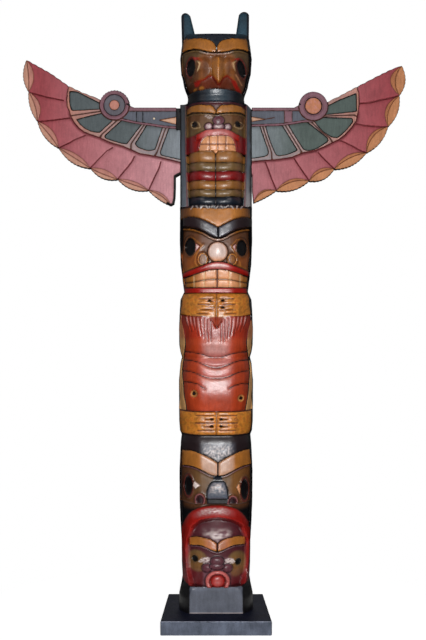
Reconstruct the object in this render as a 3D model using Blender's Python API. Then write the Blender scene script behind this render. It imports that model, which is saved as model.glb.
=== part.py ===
"""A carved and painted wooden totem pole.

Four pieces: one round log carved into five stacked figures, two flat wing boards whose roots are
let into slots in the log's sides, and a square base board. The log stands on the board, and the
board on the ground. Z is up, the figures face -Y, and the origin is the middle of the underside.
Sizes are in millimetres; MM turns them into Blender's metres.
"""
import math

import bmesh
import bpy
import numpy as np
from mathutils import Matrix, Vector

MM = 0.001
GAP = 0.3                    # clearance between touching pieces
WELD = 0.00001               # metres

# Base board
BOARD_WIDTH = 263.0          # along the front edge, and from front to back
BOARD_BACK_SHARE = 0.93      # the back edge is a little shorter than the front one
BOARD_THICKNESS = 34.0
BOARD_EDGE = 2.0

# Log
LOG_BOTTOM = BOARD_THICKNESS + GAP
HEAD_TOP = 1427.0
DRUM_TOP = 99.0              # the plain foot of the log, under the lowest figure
DRUM_FLAT = 63.0             # distance from the axis to the foot's flat front
BACK_DEPTH = 0.82            # the back is cut a little flatter than a circle
SILHOUETTE = [               # height, radius of the uncarved log, from the foot up
    (LOG_BOTTOM, 91.3), (71, 90.6), (98, 84.7), (113, 82.4), (150, 84.2), (199, 84.7), (249, 87.6),
    (298, 89.6), (372, 90.1), (422, 87.9), (446, 86.4), (461, 84.7), (471, 88.8), (496, 90.8),
    (594, 91.3), (636, 87.6), (651, 83.9), (663, 87.6), (681, 90.6), (718, 91.3), (767, 89.3),
    (792, 87.4), (802, 82.7), (811, 78.5), (829, 81.0), (853, 83.9), (878, 87.1), (940, 89.3),
    (1000, 88.8), (1268, 88.6), (1272, 71.0), (1285, 69.1), (1294, 71.0), (1305, 75.3), (1315, 78.5),
    (1335, 82.2), (1347, 85.9), (1384, 88.4), (1409, 85.1), (1424, 82.0), (HEAD_TOP, 80.0),
]
FACET_HALF_WIDTH = 40.0      # the middle of the front is planed down towards a flat this wide
FACET_ROUNDNESS = [          # height, how much of the log's roundness the flat keeps
    (99, 0.4), (285, 0.4), (300, 0.12), (1010, 0.12), (1022, 0.25), (1140, 0.25), (1160, 0.5),
    (1262, 0.5), (1290, 0.8),
]
CARVING_ENDS = 84.0          # degrees from the front where the carving runs out
CARVING_FADE = 14.0          # degrees over which it runs out

# The two side posts that carry the wings, behind the winged figure
POST_BOTTOM = 1019.0
POST_TOP = 1268.0
POST_HALF_WIDTH = 88.0
POST_FRONT = 20.0            # the posts' front faces, ahead of the axis
POST_BACK = 45.0
POST_SWELL = 1.03            # the log is a touch fuller behind the posts
BODY_HALF_WIDTH = 72.0       # the winged figure's own half width, between the posts
BODY_DEPTH = 87.0

# Wings
WING_THICKNESS = 22.0
WING_FRONT = 12.0            # the wing's front face, ahead of the axis
TONGUE_DEPTH = 14.0          # how far a wing's root goes into the log
TONGUE_TOP = 1256.0
TONGUE_BOTTOM = 1100.0
DISC_PROUD = 4.0
DISC_RIM = 2.0               # the raised disc stays this far inside the board's edge
GROOVE_DEPTH = 3.0
GROOVE_REACH = 1.05          # each groove runs on past the board's edge by this share of its length
PANEL_DEPTH = 2.5
TIP_BOW = 0.1                # how far a feather's tip bows out, as a share of its width

# Ears: outer and inner x at the root and at the tip, and the height of the tip
EARS = {"left": (-83.0, -40.0, -86.0, -65.0, 1497.0), "right": (80.5, 42.0, 81.5, 57.0, 1500.0)}
EAR_ROOT = 1396.0
EAR_ROOT_DEPTHS = (-32.0, 20.0)
EAR_TIP_DEPTHS = (-22.0, 8.0)
EAR_EDGE = 6.0

# How finely the log is carved before its flat stretches are thinned out
COLUMNS = 140
ROWS = 340
KEPT_SHARE = 0.086
FRONT_CROWDING = 0.34        # how much closer the columns stand at the front
CLEAR = 130.0                # how far a cutter reaches out of the log
PROUD = 3.0                  # how far a cutter stands out of a wing's face


def tidy_scene():
    """Remove whatever the scene holds."""
    for thing in list(bpy.data.objects):
        bpy.data.objects.remove(thing, do_unlink=True)


def make_material(name, colour, roughness):
    """A painted wood finish."""
    material = bpy.data.materials.new(name)
    material.use_nodes = True
    shader = material.node_tree.nodes["Principled BSDF"]
    shader.inputs["Base Color"].default_value = (*colour, 1.0)
    shader.inputs["Roughness"].default_value = roughness
    shader.inputs["Metallic"].default_value = 0.0
    return material


def add_object(name, mesh, collection, material=None):
    """Put a mesh in a collection under its own name."""
    thing = bpy.data.objects.new(name, mesh)
    collection.objects.link(thing)
    if material:
        mesh.materials.append(material)
    return thing


def add_cutter(name, mesh, collection):
    """Put a mesh among the cutters, which are not part of the object."""
    cutter = add_object(name, mesh, collection)
    cutter.hide_render = True
    cutter.display_type = "WIRE"
    return cutter


def add_boolean(thing, tool, operation):
    """Join a tool to a piece, or cut it away."""
    modifier = thing.modifiers.new(tool.name, "BOOLEAN")
    modifier.operation = operation
    modifier.object = tool
    modifier.solver = "EXACT"


# Carving. Each shape gives how far inside its edge a point (x, z) of the log's front lies.

def curve(x, points):
    """The height at x of a smooth line through a few points."""
    across, up = np.array(points, float).T
    slope = np.gradient(up, across)
    i = np.clip(np.searchsorted(across, x) - 1, 0, len(across) - 2)
    step = across[i + 1] - across[i]
    t = np.clip((x - across[i]) / step, 0.0, 1.0)
    rest = 1.0 - t
    return (up[i] * (1 + 2 * t) * rest ** 2 + slope[i] * step * t * rest ** 2
            + up[i + 1] * t * t * (3 - 2 * t) - slope[i + 1] * step * t * t * rest)


def between(z, low, high):
    """A band between two lines."""
    return np.minimum(z - low, high - z)


def oval(x, z, middle, height, half_width, half_height, turn=0.0):
    """An oval, turned anticlockwise by an angle in degrees."""
    angle = math.radians(turn)
    across, up = x - middle, z - height
    along = (across * math.cos(angle) + up * math.sin(angle)) / half_width
    aside = (up * math.cos(angle) - across * math.sin(angle)) / half_height
    return (1.0 - np.hypot(along, aside)) * min(half_width, half_height)


def dome(inside, reach, height):
    """A rounded rise from nothing at an edge to its full height."""
    t = np.clip(inside / reach, 0.0, 1.0)
    return height * np.sqrt(t * (2.0 - t))


def lay(relief, inside, height, bevel=3.0):
    """Give the points inside a shape their own height, down a slope at its edge."""
    share = np.clip(inside / bevel + 0.5, 0.0, 1.0)
    share = share * share * (3.0 - 2.0 * share)
    return relief + (height - relief) * share


def groove(relief, distance, width, depth):
    """Cut a rounded groove along a line."""
    return relief - depth * np.exp(-(2.0 * distance / width) ** 2)


def brow_carving(x, z, face):
    """Forehead, ground and two raised brow lobes that meet at a groove."""
    across = np.abs(x - face["middle"])
    low, high = curve(across, face["brow_bottom"]), curve(across, face["brow_top"])
    lobes = np.minimum(between(z, low, high), np.minimum(across - 1.0, face["brow_reach"] - across))
    relief = lay(np.full_like(x, face["ground"]), z - high, face["forehead"])
    return lay(relief, lobes, face["brow"])


def eye_carving(relief, x, z, face):
    """Hollow eyes, each with a raised lid around it."""
    lid, rise, depth = face["lids"]
    for eye in face["eyes"]:
        relief = lay(relief, oval(x, z, *eye) + lid, face["ground"] + rise, 4)
        relief = lay(relief, oval(x, z, *eye), face["ground"] - depth, 5)
    return relief


def lobe_carving(relief, x, z, lobes, level, rise, reach):
    """Rounded lobes, such as a nose and its wings."""
    for lobe in lobes:
        shape = oval(x, z, *lobe)
        relief = np.maximum(relief, lay(relief, shape, level + dome(shape, reach, rise)))
    return relief


def lip_carving(relief, inside, level, rise):
    """A lip: a band with a rounded section."""
    return lay(relief, inside, level + dome(inside, 7, rise))


# The figures. A brow line gives heights from the face's middle outwards. An oval is its middle's x
# and z, its half width and half height and, where it leans, its turn. Levels are against the log.

EAGLE = {
    "middle": 1.0, "ground": -9.0, "forehead": -2.0, "brow": 0.0, "brow_reach": 82,
    "brow_top": [(0, 1391), (5, 1403), (14, 1411), (28, 1415), (46, 1418), (60, 1419), (86, 1417)],
    "brow_bottom": [(0, 1383), (15, 1384), (27, 1386), (40, 1391), (52, 1394), (62, 1395), (86, 1396)],
    "eyes": [(-61, 1354, 10.3, 20, -1), (61.5, 1351, 10, 19.5, 14)], "lids": (5, 3, 4),
    "cheeks": [(36, 1336, 22, 34, 10), (-34, 1336, 22, 34, -10)],
    "beak_middle": 5.0, "beak_slope": 0.5,
    "beak_crest": [(1304, 1), (1312, 5), (1330, 5.5), (1352, 2), (1375, -4)],
    "beak_edge": [(1300, 0), (1304, 3), (1312, 5), (1322, 10), (1332, 13), (1348, 15), (1374, 16)],
    "mouth": [(-70, 1319), (-60, 1320), (-45, 1319), (-27, 1322), (-19, 1327), (-11, 1328), (-2, 1319),
              (7, 1309), (17, 1323), (27, 1329), (35, 1324), (45, 1317), (57, 1302), (70, 1288)],
    "collar": (1266.0, 1298.0),
}


def eagle_head(x, z):
    """The top figure: broad brows, deep eyes and a ridged beak over a smooth collar."""
    relief = brow_carving(x, z, EAGLE)
    for cheek in EAGLE["cheeks"]:
        relief = lay(relief, oval(x, z, *cheek), -4.0, 10)
    relief = eye_carving(relief, x, z, EAGLE)
    aside = np.abs(x - EAGLE["beak_middle"])
    crest = curve(z, EAGLE["beak_crest"]) - EAGLE["beak_slope"] * aside
    relief = lay(relief, curve(z, EAGLE["beak_edge"]) - aside, crest, 5)
    mouth = curve(x, EAGLE["mouth"])
    low, high = EAGLE["collar"]
    relief = lay(relief, between(z, high, mouth), -7.0, 5)
    relief = groove(relief, z - mouth, 6, 2.5)
    return lay(relief, high - z, dome(between(z, low, high), 16, 5.0) - 5.0)


WINGED = {
    "middle": 0.0, "ground": -6.0, "forehead": -3.0, "brow": 0.0, "brow_reach": 69,
    "brow_top": [(0, 1242), (3, 1247), (8, 1253), (24, 1257), (50, 1259), (62, 1259), (74, 1255)],
    "brow_bottom": [(0, 1236), (5, 1237), (20, 1239), (40, 1241), (57, 1243), (74, 1244)],
    "eyes": [(-52, 1215.5, 7, 7.2), (53, 1217, 7, 7)], "lids": (5, 2, 5),
    "nose": [(-18, 1206.5, 10, 9), (28, 1205.5, 9.5, 8.5), (6, 1206, 14, 9.5), (6, 1221, 13.5, 11)],
    "lip": [(-74, 1189), (-58, 1188), (-40, 1191), (-26, 1197), (-9, 1199), (20, 1200), (36, 1196),
            (51, 1190), (74, 1188)],
    "mouth_middle": 4.0, "mouth_half": 50.0, "lip_width": 14.0, "chin": 1147.0,
    "limbs": (1148.5, 1120.0, 1099.0, 1076.5, 1055.0, 1037.0, 1019.0),
}


def winged_figure(x, z):
    """The second figure: a face with a broad nose and a toothed mouth over folded limbs."""
    relief = eye_carving(brow_carving(x, z, WINGED), x, z, WINGED)
    relief = lobe_carving(relief, x, z, WINGED["nose"], -4.0, 5.0, 9)
    arch = curve(x, WINGED["lip"])
    aside = np.abs(x - WINGED["mouth_middle"])
    relief = lay(relief, between(z, WINGED["chin"], arch), -5.0)
    mouth = np.minimum(between(z, WINGED["chin"], arch), WINGED["mouth_half"] - aside)
    relief = lip_carving(relief, mouth, -4.0, 3.0)
    teeth = np.minimum(mouth - 6.0, between(z, WINGED["chin"], arch - WINGED["lip_width"]))
    relief = lay(relief, teeth, -3.5)
    return lay(relief, WINGED["chin"] - 1.0 - z, folded_limbs(x, z), 2)


def folded_limbs(x, z):
    """The winged figure's hands, arms, knees and feet: rounded bands, parted down the middle."""
    relief = np.full_like(x, -8.0)
    edges = WINGED["limbs"]
    for top, bottom in zip(edges, edges[1:]):
        relief = np.maximum(relief, dome(between(z, bottom, top), 0.45 * (top - bottom), 6.0) - 8.0)
    return groove(relief, x + 1.0, 7, 4.0)


WATCHING = {
    "middle": 5.0, "ground": -9.0, "forehead": -2.5, "brow": 0.0, "brow_reach": 84,
    "brow_top": [(0, 964), (12, 970), (28, 979), (48, 987), (66, 991), (88, 989)],
    "brow_bottom": [(0, 939), (9, 941), (19, 945), (30, 952), (45, 959), (60, 964), (88, 969)],
    "eyes": [(-63, 919.5, 13, 21.5), (62.5, 916.5, 12.5, 19.5)], "lids": (5, 3, 4),
    "nostrils": [(-32, 888, 8, 10), (39, 887.5, 8, 9)], "nose": [(4, 905.5, 23.5, 24)],
    "lip_top": [(0, 882), (16, 880), (42, 871), (66, 863), (88, 856)],
    "lip_bottom": [(0, 864), (16, 863), (40, 857), (64, 850), (88, 844)],
    "lower_lip": (806.5, 819.5), "bite": 839.0,
}


def watching_face(x, z):
    """The third figure's face: V-shaped brows, wide eyes, a round nose and a long toothed mouth."""
    across = np.abs(x - WATCHING["middle"])
    relief = eye_carving(brow_carving(x, z, WATCHING), x, z, WATCHING)
    for nostril in WATCHING["nostrils"]:
        relief = lay(relief, oval(x, z, *nostril) + 5.0, -3.5, 4)
        relief = lay(relief, oval(x, z, *nostril), -7.0, 4)
    relief = lobe_carving(relief, x, z, WATCHING["nose"], -6.0, 9.0, 20)
    lip_top, lip_bottom = curve(across, WATCHING["lip_top"]), curve(across, WATCHING["lip_bottom"])
    low, high = WATCHING["lower_lip"]
    relief = lay(relief, between(z, low, lip_top), -5.0)
    relief = lip_carving(relief, between(z, lip_bottom, lip_top), -3.5, 4.0)
    relief = lip_carving(relief, between(z, low, high), -3.0, 3.5)
    return groove(relief, z - WATCHING["bite"] + 0.06 * across, 5, 2.0)


SEATED = {
    "upper_hands": (748.0, 806.0), "lower_hands": (464.0, 522.0), "hand_half": 44.0, "cuff_slope": 0.06,
    "fingers": (0.2, 0.38, 0.56, 0.76),
    "trunk_side": [(520, 71), (561, 77), (615, 82), (646, 79), (682, 74), (711, 76), (742, 84)],
    "folds": [(651, 14), (627, 17), (602, 15)],
}


def hands(x, z, low, high):
    """A pair of hands laid flat, finger tips together, with grooves between the fingers."""
    relief = dome(between(z, low, high), 9, 4.0) - 4.5
    for share in SEATED["fingers"]:
        beyond = 0.5 * (np.abs(x - 1.0) - SEATED["hand_half"])
        relief = groove(relief, np.maximum(np.abs(z - low - share * (high - low)), beyond), 5, 1.5)
    return groove(relief, x - 1.0, 6, 2.5)


def trunk(x, z):
    """The third figure's folded trunk between its arms."""
    inside = curve(z, SEATED["trunk_side"]) - np.abs(x)
    relief = lay(np.full_like(x, -3.0), inside, -6.0, 5)
    relief = np.maximum(relief, lay(relief, inside - 6.0, dome(inside, 55, 5.0) - 6.0, 12))
    for height, rise in SEATED["folds"]:
        outwards = np.clip(np.abs(x) / 70.0, 0.0, 1.0) ** 1.5
        relief = groove(relief, z - height - rise * outwards, 6, 2.5)
    return relief


def seated_body(x, z):
    """Everything below the third figure's chin: hands, trunk, and hands again."""
    low, high = SEATED["upper_hands"]
    relief = lay(trunk(x, z), z - low - SEATED["cuff_slope"] * np.abs(x), hands(x, z, low, high))
    low, high = SEATED["lower_hands"]
    return lay(relief, high - z, hands(x, z, low, high))


FROWNING = {
    "middle": 4.5, "ground": -10.0, "forehead": -2.5, "brow": 0.0, "brow_reach": 86,
    "brow_top": [(0, 398), (9, 404), (25, 413), (42, 421), (64, 427), (90, 424)],
    "brow_bottom": [(0, 367), (7, 368), (19, 371), (32, 378), (48, 385), (65, 390), (90, 388)],
    "eyes": [(-67, 340.5, 10, 23.5, -2), (69.5, 330.5, 9.5, 25, 2)], "lids": (5, 4, 3),
    "nostrils": [(-39, 309, 9, 12), (40, 304, 9, 12)], "nose": [(4, 334, 25, 22)],
}


def frowning_face(x, z):
    """The fourth figure: deep V brows, narrow eyes and a bell-shaped nose above the hood."""
    relief = eye_carving(brow_carving(x, z, FROWNING), x, z, FROWNING)
    for nostril in FROWNING["nostrils"]:
        relief = lay(relief, oval(x, z, *nostril) + 5.0, -4.0, 4)
        relief = lay(relief, oval(x, z, *nostril), -9.0, 4)
    return lobe_carving(relief, x, z, FROWNING["nose"], -7.0, 9.0, 20)


HOODED = {
    "middle": 3.0, "ground": -13.0, "forehead": -5.0, "brow": -4.0, "brow_reach": 66,
    "brow_top": [(0, 203), (4, 207), (14, 213), (33, 218), (48, 219), (70, 214)],
    "brow_bottom": [(0, 185), (10, 188), (24, 194), (38, 198), (70, 196)],
    "eyes": [(-51, 164.5, 7.3, 7.6), (53.5, 156.5, 7.3, 7.6)], "lids": (4, 2, 5),
    "nose": [(-22, 145, 9.5, 9.5), (26, 144.5, 10, 9.5), (2, 150, 16, 9), (3, 162, 15, 10)],
    "hood_half": [(99, 82), (111, 84), (167, 88), (203, 90), (226, 88), (248, 80), (269, 69)],
    "hood_top": [(-88, 224), (-79, 248), (-68, 269), (-49, 286), (-27, 294), (1, 297), (29, 294),
                 (53, 284), (70, 265), (90, 226)],
    "face_half": [(99, 60), (117, 65), (147, 70), (175, 71), (202, 70), (219, 66), (238, 59)],
    "face_top": [(-66, 224), (-57, 238), (-40, 255), (-18, 262), (1, 264.5), (23, 262), (45, 254),
                 (62, 239), (70, 224)],
    "arch_springs": 238.0, "jaw": 140.0, "jaw_slope": 0.22, "mouth": (2, 112, 27, 26), "lip_width": 7.2,
}


def arched(x, z, middle, half, top):
    """A shape with upright sides and an arched top."""
    sides = curve(z, half) - np.abs(x - middle)
    return np.where(z > HOODED["arch_springs"], curve(x, top) - z, sides)


def hooded_face(x, z):
    """The lowest figure: a small face with a round open mouth, looking out of a hood."""
    hood = arched(x, z, 1.0, HOODED["hood_half"], HOODED["hood_top"])
    relief = lay(np.full_like(x, -10.0), hood, dome(hood, 14, 8.0) - 9.0)
    features = eye_carving(brow_carving(x, z, HOODED), x, z, HOODED)
    features = lobe_carving(features, x, z, HOODED["nose"], -12.0, 6.0, 9)
    below = HOODED["jaw"] - z
    features = lay(features, below, HOODED["ground"] - HOODED["jaw_slope"] * below, 10)
    mouth = oval(x, z, *HOODED["mouth"])
    features = lay(features, mouth, dome(mouth, 4, 4.0) - 11.0)
    features = lay(features, mouth - HOODED["lip_width"], -19.0)
    face = arched(x, z, HOODED["middle"], HOODED["face_half"], HOODED["face_top"])
    return lay(relief, face, features, 5)


FIGURES = [                  # lowest and highest point of each stretch of carving, and its carver
    (DRUM_TOP, 300.0, hooded_face), (300.0, 466.0, frowning_face), (466.0, 806.0, seated_body),
    (806.0, 1018.0, watching_face), (1018.0, 1262.0, winged_figure), (1262.0, 1480.0, eagle_head),
]


def carve(x, z):
    """The height of the carved front against the uncarved log."""
    relief = np.zeros_like(x)
    for low, high, figure in FIGURES:
        relief = lay(relief, between(z, low, high), figure(x, z), 1.5)
    return relief


def log_radius(turn, z):
    """The uncarved log's radius at an angle from the front, posts included."""
    across, ahead = np.sin(turn), np.cos(turn)
    radius = np.interp(z, *np.array(SILHOUETTE).T)
    depth = np.where(ahead > 0, 1.0, BACK_DEPTH)
    plain = radius / np.hypot(across, ahead / depth)
    body_depth = np.where(ahead > 0, BODY_DEPTH, POST_BACK)
    body = 1.0 / np.hypot(across / BODY_HALF_WIDTH, ahead / body_depth)
    to_side = POST_HALF_WIDTH / np.maximum(np.abs(across), 1e-6)
    to_front = POST_FRONT / np.maximum(ahead, 1e-6)
    to_back = BACK_DEPTH * POST_HALF_WIDTH / np.maximum(-ahead, 1e-6)
    block = np.minimum(to_side, np.where(ahead > 0, to_front, to_back))
    block = np.where(ahead > 0, block, np.minimum(block, POST_SWELL * plain))
    posted = np.maximum(body, block)
    return np.where(between(z, POST_BOTTOM, POST_TOP) > 0, posted, plain)


def planed(ahead, z):
    """How far ahead of the axis the log's front lies once its middle is planed down."""
    depth = np.interp(z, *np.array(SILHOUETTE).T)
    half_width = depth
    posted = between(z, POST_BOTTOM, POST_TOP) > 0
    depth = np.where(posted, BODY_DEPTH, depth)
    half_width = np.where(posted, BODY_HALF_WIDTH, half_width)
    flat = depth * np.sqrt(1.0 - (FACET_HALF_WIDTH / half_width) ** 2)
    roundness = np.interp(z, *np.array(FACET_ROUNDNESS).T)
    return np.where(ahead > flat, flat + roundness * (ahead - flat), ahead)


def carve_log(bm):
    """Turn a plain cylinder of unit size into the carved log."""
    points = np.array([vertex.co for vertex in bm.verts])
    even = np.arctan2(points[:, 0], -points[:, 1]) / math.pi
    turn = math.pi * ((1.0 - FRONT_CROWDING) * even + FRONT_CROWDING * even ** 3)
    z = LOG_BOTTOM + (HEAD_TOP - LOG_BOTTOM) * (points[:, 2] + 0.5)
    radius = log_radius(turn, z)
    across, ahead = radius * np.sin(turn), planed(radius * np.cos(turn), z)
    facing = np.clip((CARVING_ENDS - np.degrees(np.abs(turn))) / CARVING_FADE, 0.0, 1.0)
    growth = 1.0 + carve(across, z) * facing / np.hypot(across, ahead)
    for vertex, x, y, height in zip(bm.verts, growth * across, -growth * ahead, z):
        vertex.co = Vector((x, y, height)) * MM


def log_mesh():
    """A finely divided cylinder, carved all round."""
    bm = bmesh.new()
    bmesh.ops.create_cone(bm, cap_ends=True, cap_tris=False, segments=COLUMNS, radius1=1.0, radius2=1.0,
                          depth=1.0)
    upright = [edge for edge in bm.edges if abs(edge.verts[0].co.z - edge.verts[1].co.z) > 0.5]
    bmesh.ops.subdivide_edges(bm, edges=upright, cuts=ROWS, use_grid_fill=True)
    carve_log(bm)
    mesh = bpy.data.meshes.new("pole")
    bm.to_mesh(mesh)
    bm.free()
    return mesh


def block_mesh(name, low, high, bevel=0.0):
    """A box between two corners, its edges rounded where a bevel is given."""
    low, high = Vector(low) * MM, Vector(high) * MM
    bm = bmesh.new()
    bmesh.ops.create_cube(bm, size=1.0)
    for vertex in bm.verts:
        vertex.co = Vector((low[i] + (vertex.co[i] + 0.5) * (high[i] - low[i]) for i in range(3)))
    if bevel:
        bmesh.ops.bevel(bm, geom=bm.edges, offset=bevel * MM, segments=2, profile=0.5, affect="EDGES")
    mesh = bpy.data.meshes.new(name)
    bm.to_mesh(mesh)
    bm.free()
    return mesh


def ear_mesh(name, sizes):
    """A tapered horn with a rounded tip, its root sunk in the head."""
    root_outer, root_inner, tip_outer, tip_inner, tip = sizes
    bm = bmesh.new()
    bmesh.ops.create_cube(bm, size=2.0)
    for vertex in bm.verts:
        outer = (vertex.co.x < 0) == (root_outer < 0)
        low = vertex.co.z < 0
        across = (root_outer if outer else root_inner) if low else (tip_outer if outer else tip_inner)
        y = (EAR_ROOT_DEPTHS if low else EAR_TIP_DEPTHS)[vertex.co.y > 0]
        vertex.co = Vector((across, y, EAR_ROOT if low else tip)) * MM
    bmesh.ops.bevel(bm, geom=bm.edges, offset=EAR_EDGE * MM, segments=3, profile=0.5, affect="EDGES")
    bmesh.ops.recalc_face_normals(bm, faces=bm.faces)
    mesh = bpy.data.meshes.new(name)
    bm.to_mesh(mesh)
    bm.free()
    return mesh


def make_pole(pieces, cutters, material):
    """The carved log: thinned, given its ears and flat foot, and slotted for the wings."""
    pole = add_object("pole", log_mesh(), pieces, material)
    thin = pole.modifiers.new("thin", "DECIMATE")
    thin.decimate_type = "COLLAPSE"
    thin.ratio = KEPT_SHARE
    for side, sizes in EARS.items():
        add_boolean(pole, add_cutter(f"ear_{side}", ear_mesh(f"ear_{side}", sizes), cutters), "UNION")
    front = block_mesh("foot_flat", (-CLEAR, -CLEAR, 0), (CLEAR, -DRUM_FLAT, DRUM_TOP))
    add_boolean(pole, add_cutter("foot_flat", front, cutters), "DIFFERENCE")
    for name, side in (("slot_left", -1), ("slot_right", 1)):
        ends = sorted((side * (POST_HALF_WIDTH - TONGUE_DEPTH - GAP), side * CLEAR))
        low = (ends[0], -WING_FRONT - GAP, TONGUE_BOTTOM - GAP)
        high = (ends[1], -WING_FRONT + WING_THICKNESS + GAP, TONGUE_TOP + GAP)
        add_boolean(pole, add_cutter(name, block_mesh(name, low, high), cutters), "DIFFERENCE")
    return pole


# Wings. Points are (x, z) as seen from the front; each wing is a little different from the other.

WINGS = {
    "left": {
        "lead": [(-105, 1264), (-201, 1264), (-222, 1272)],
        "disc": (-249.5, 1269.5, 36),
        "shoulder": [(-290, 1286), (-330, 1301), (-363, 1317), (-407, 1348), (-466, 1381)],
        "tips": [(-474, 1362), (-460, 1301), (-439, 1226), (-386, 1163), (-311, 1117), (-243, 1084),
                 (-165, 1060), (-110, 1023)],
        "inner": [(-371, 1283), (-360, 1241), (-320, 1201), (-242, 1167), (-196, 1147), (-139, 1134)],
        "root": [(-103, 1027), (-100, 1042), (-99, 1070), (-99, 1094)],
        "panels": [[(-356, 1301), (-336, 1301), (-294, 1276), (-290, 1262), (-353, 1257)],
                   [(-343, 1237), (-282, 1249), (-262, 1232), (-290, 1204), (-336, 1225)],
                   [(-272, 1193), (-243, 1221), (-192, 1218), (-216, 1180), (-226, 1174)],
                   [(-198, 1170), (-175, 1208), (-135, 1206), (-154, 1159)],
                   [(-137, 1151), (-116, 1206), (-92, 1206), (-92, 1140)]],
    },
    "right": {
        "lead": [(105, 1264), (192, 1264), (207, 1272)],
        "disc": (239, 1267.5, 35.5),
        "shoulder": [(277, 1279), (302, 1291), (347, 1315), (403, 1344), (429, 1359), (459, 1367)],
        "tips": [(467, 1345), (452, 1297), (424, 1217), (370, 1152), (294, 1113), (229, 1082),
                 (149, 1060), (92, 1032)],
        "inner": [(358, 1275), (347, 1224), (305, 1186), (254, 1153), (192, 1140), (125, 1132)],
        "root": [(89, 1060), (89, 1095)],
        "panels": [[(92, 1213), (108, 1212), (127, 1145), (92, 1140)],
                   [(129, 1208), (165, 1210), (198, 1157), (177, 1148), (150, 1145)],
                   [(184, 1212), (220, 1214), (274, 1183), (224, 1159)],
                   [(241, 1229), (263, 1241), (337, 1232), (297, 1193)],
                   [(345, 1300), (343, 1254), (281, 1248), (281, 1270)]],
    },
}


def arc(start, end, bulge, count=5):
    """Points from start to just before end, bowed to the right of the way by bulge."""
    points = []
    for i in range(count):
        t = i / count
        aside = 4.0 * bulge * t * (1.0 - t) / math.dist(start, end)
        points.append((start[0] + t * (end[0] - start[0]) + aside * (end[1] - start[1]),
                       start[1] + t * (end[1] - start[1]) - aside * (end[0] - start[0])))
    return points


def disc_rim(wing):
    """The part of the disc's rim that stands out of the wing's leading edge."""
    x, z, radius = wing["disc"]
    before, after = wing["lead"][-1], wing["shoulder"][0]
    first = math.atan2(before[1] - z, before[0] - x)
    last = math.atan2(after[1] - z, after[0] - x)
    return [(x + radius * math.cos(a), z + radius * math.sin(a)) for a in np.linspace(first, last, 9)]


def wing_outline(wing, side):
    """The board's outline: tongue, leading edge, disc, feather tips and root."""
    face = side * (POST_HALF_WIDTH + GAP)
    tongue = side * (POST_HALF_WIDTH - TONGUE_DEPTH)
    outline = [(tongue, TONGUE_BOTTOM), (tongue, TONGUE_TOP), (face, TONGUE_TOP), (face, 1264.0)]
    outline += wing["lead"] + disc_rim(wing) + wing["shoulder"]
    tips = wing["tips"]
    for start, end in zip(tips, tips[1:]):
        outline += arc(start, end, -side * TIP_BOW * math.dist(start, end))
    outline += [tips[-1]] + wing["root"] + [(face, TONGUE_BOTTOM)]
    return outline


def prism_mesh(name, outline, front, back):
    """A flat outline in X and Z made a board between two depths along Y."""
    shape = bpy.data.curves.new(name, "CURVE")
    shape.dimensions = "2D"
    shape.fill_mode = "BOTH"
    shape.extrude = 0.5 * (back - front) * MM
    spline = shape.splines.new("POLY")
    spline.points.add(len(outline) - 1)
    for point, (x, z) in zip(spline.points, outline):
        point.co = (x * MM, z * MM, 0.0, 1.0)
    spline.use_cyclic_u = True
    guide = bpy.data.objects.new(name, shape)
    bpy.context.scene.collection.objects.link(guide)
    bpy.context.view_layer.update()
    evaluated = guide.evaluated_get(bpy.context.evaluated_depsgraph_get())
    mesh = bpy.data.meshes.new_from_object(evaluated)
    bpy.data.objects.remove(guide, do_unlink=True)
    bpy.data.curves.remove(shape)
    middle = Matrix.Translation((0, 0.5 * (front + back) * MM, 0))
    mesh.transform(middle @ Matrix.Rotation(math.pi / 2, 4, "X"))
    bm = bmesh.new()
    bm.from_mesh(mesh)
    bmesh.ops.remove_doubles(bm, verts=bm.verts, dist=WELD)
    bmesh.ops.recalc_face_normals(bm, faces=bm.faces)
    bm.to_mesh(mesh)
    bm.free()
    return mesh


def groove_mesh(name, start, end, depth):
    """A bar with a square section, set on its edge so that it cuts a V."""
    length = math.dist(start, end)
    bm = bmesh.new()
    bmesh.ops.create_cube(bm, size=1.0)
    reach = depth * math.sqrt(2.0)
    bmesh.ops.scale(bm, vec=Vector((length, reach, reach)) * MM, verts=bm.verts)
    bmesh.ops.rotate(bm, matrix=Matrix.Rotation(math.pi / 4, 3, "X"), verts=bm.verts)
    slope = math.atan2(end[1] - start[1], end[0] - start[0])
    bmesh.ops.rotate(bm, matrix=Matrix.Rotation(-slope, 3, "Y"), verts=bm.verts)
    middle = Vector(((start[0] + end[0]) / 2, -WING_FRONT, (start[1] + end[1]) / 2)) * MM
    bmesh.ops.translate(bm, vec=middle, verts=bm.verts)
    mesh = bpy.data.meshes.new(name)
    bm.to_mesh(mesh)
    bm.free()
    return mesh


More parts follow.
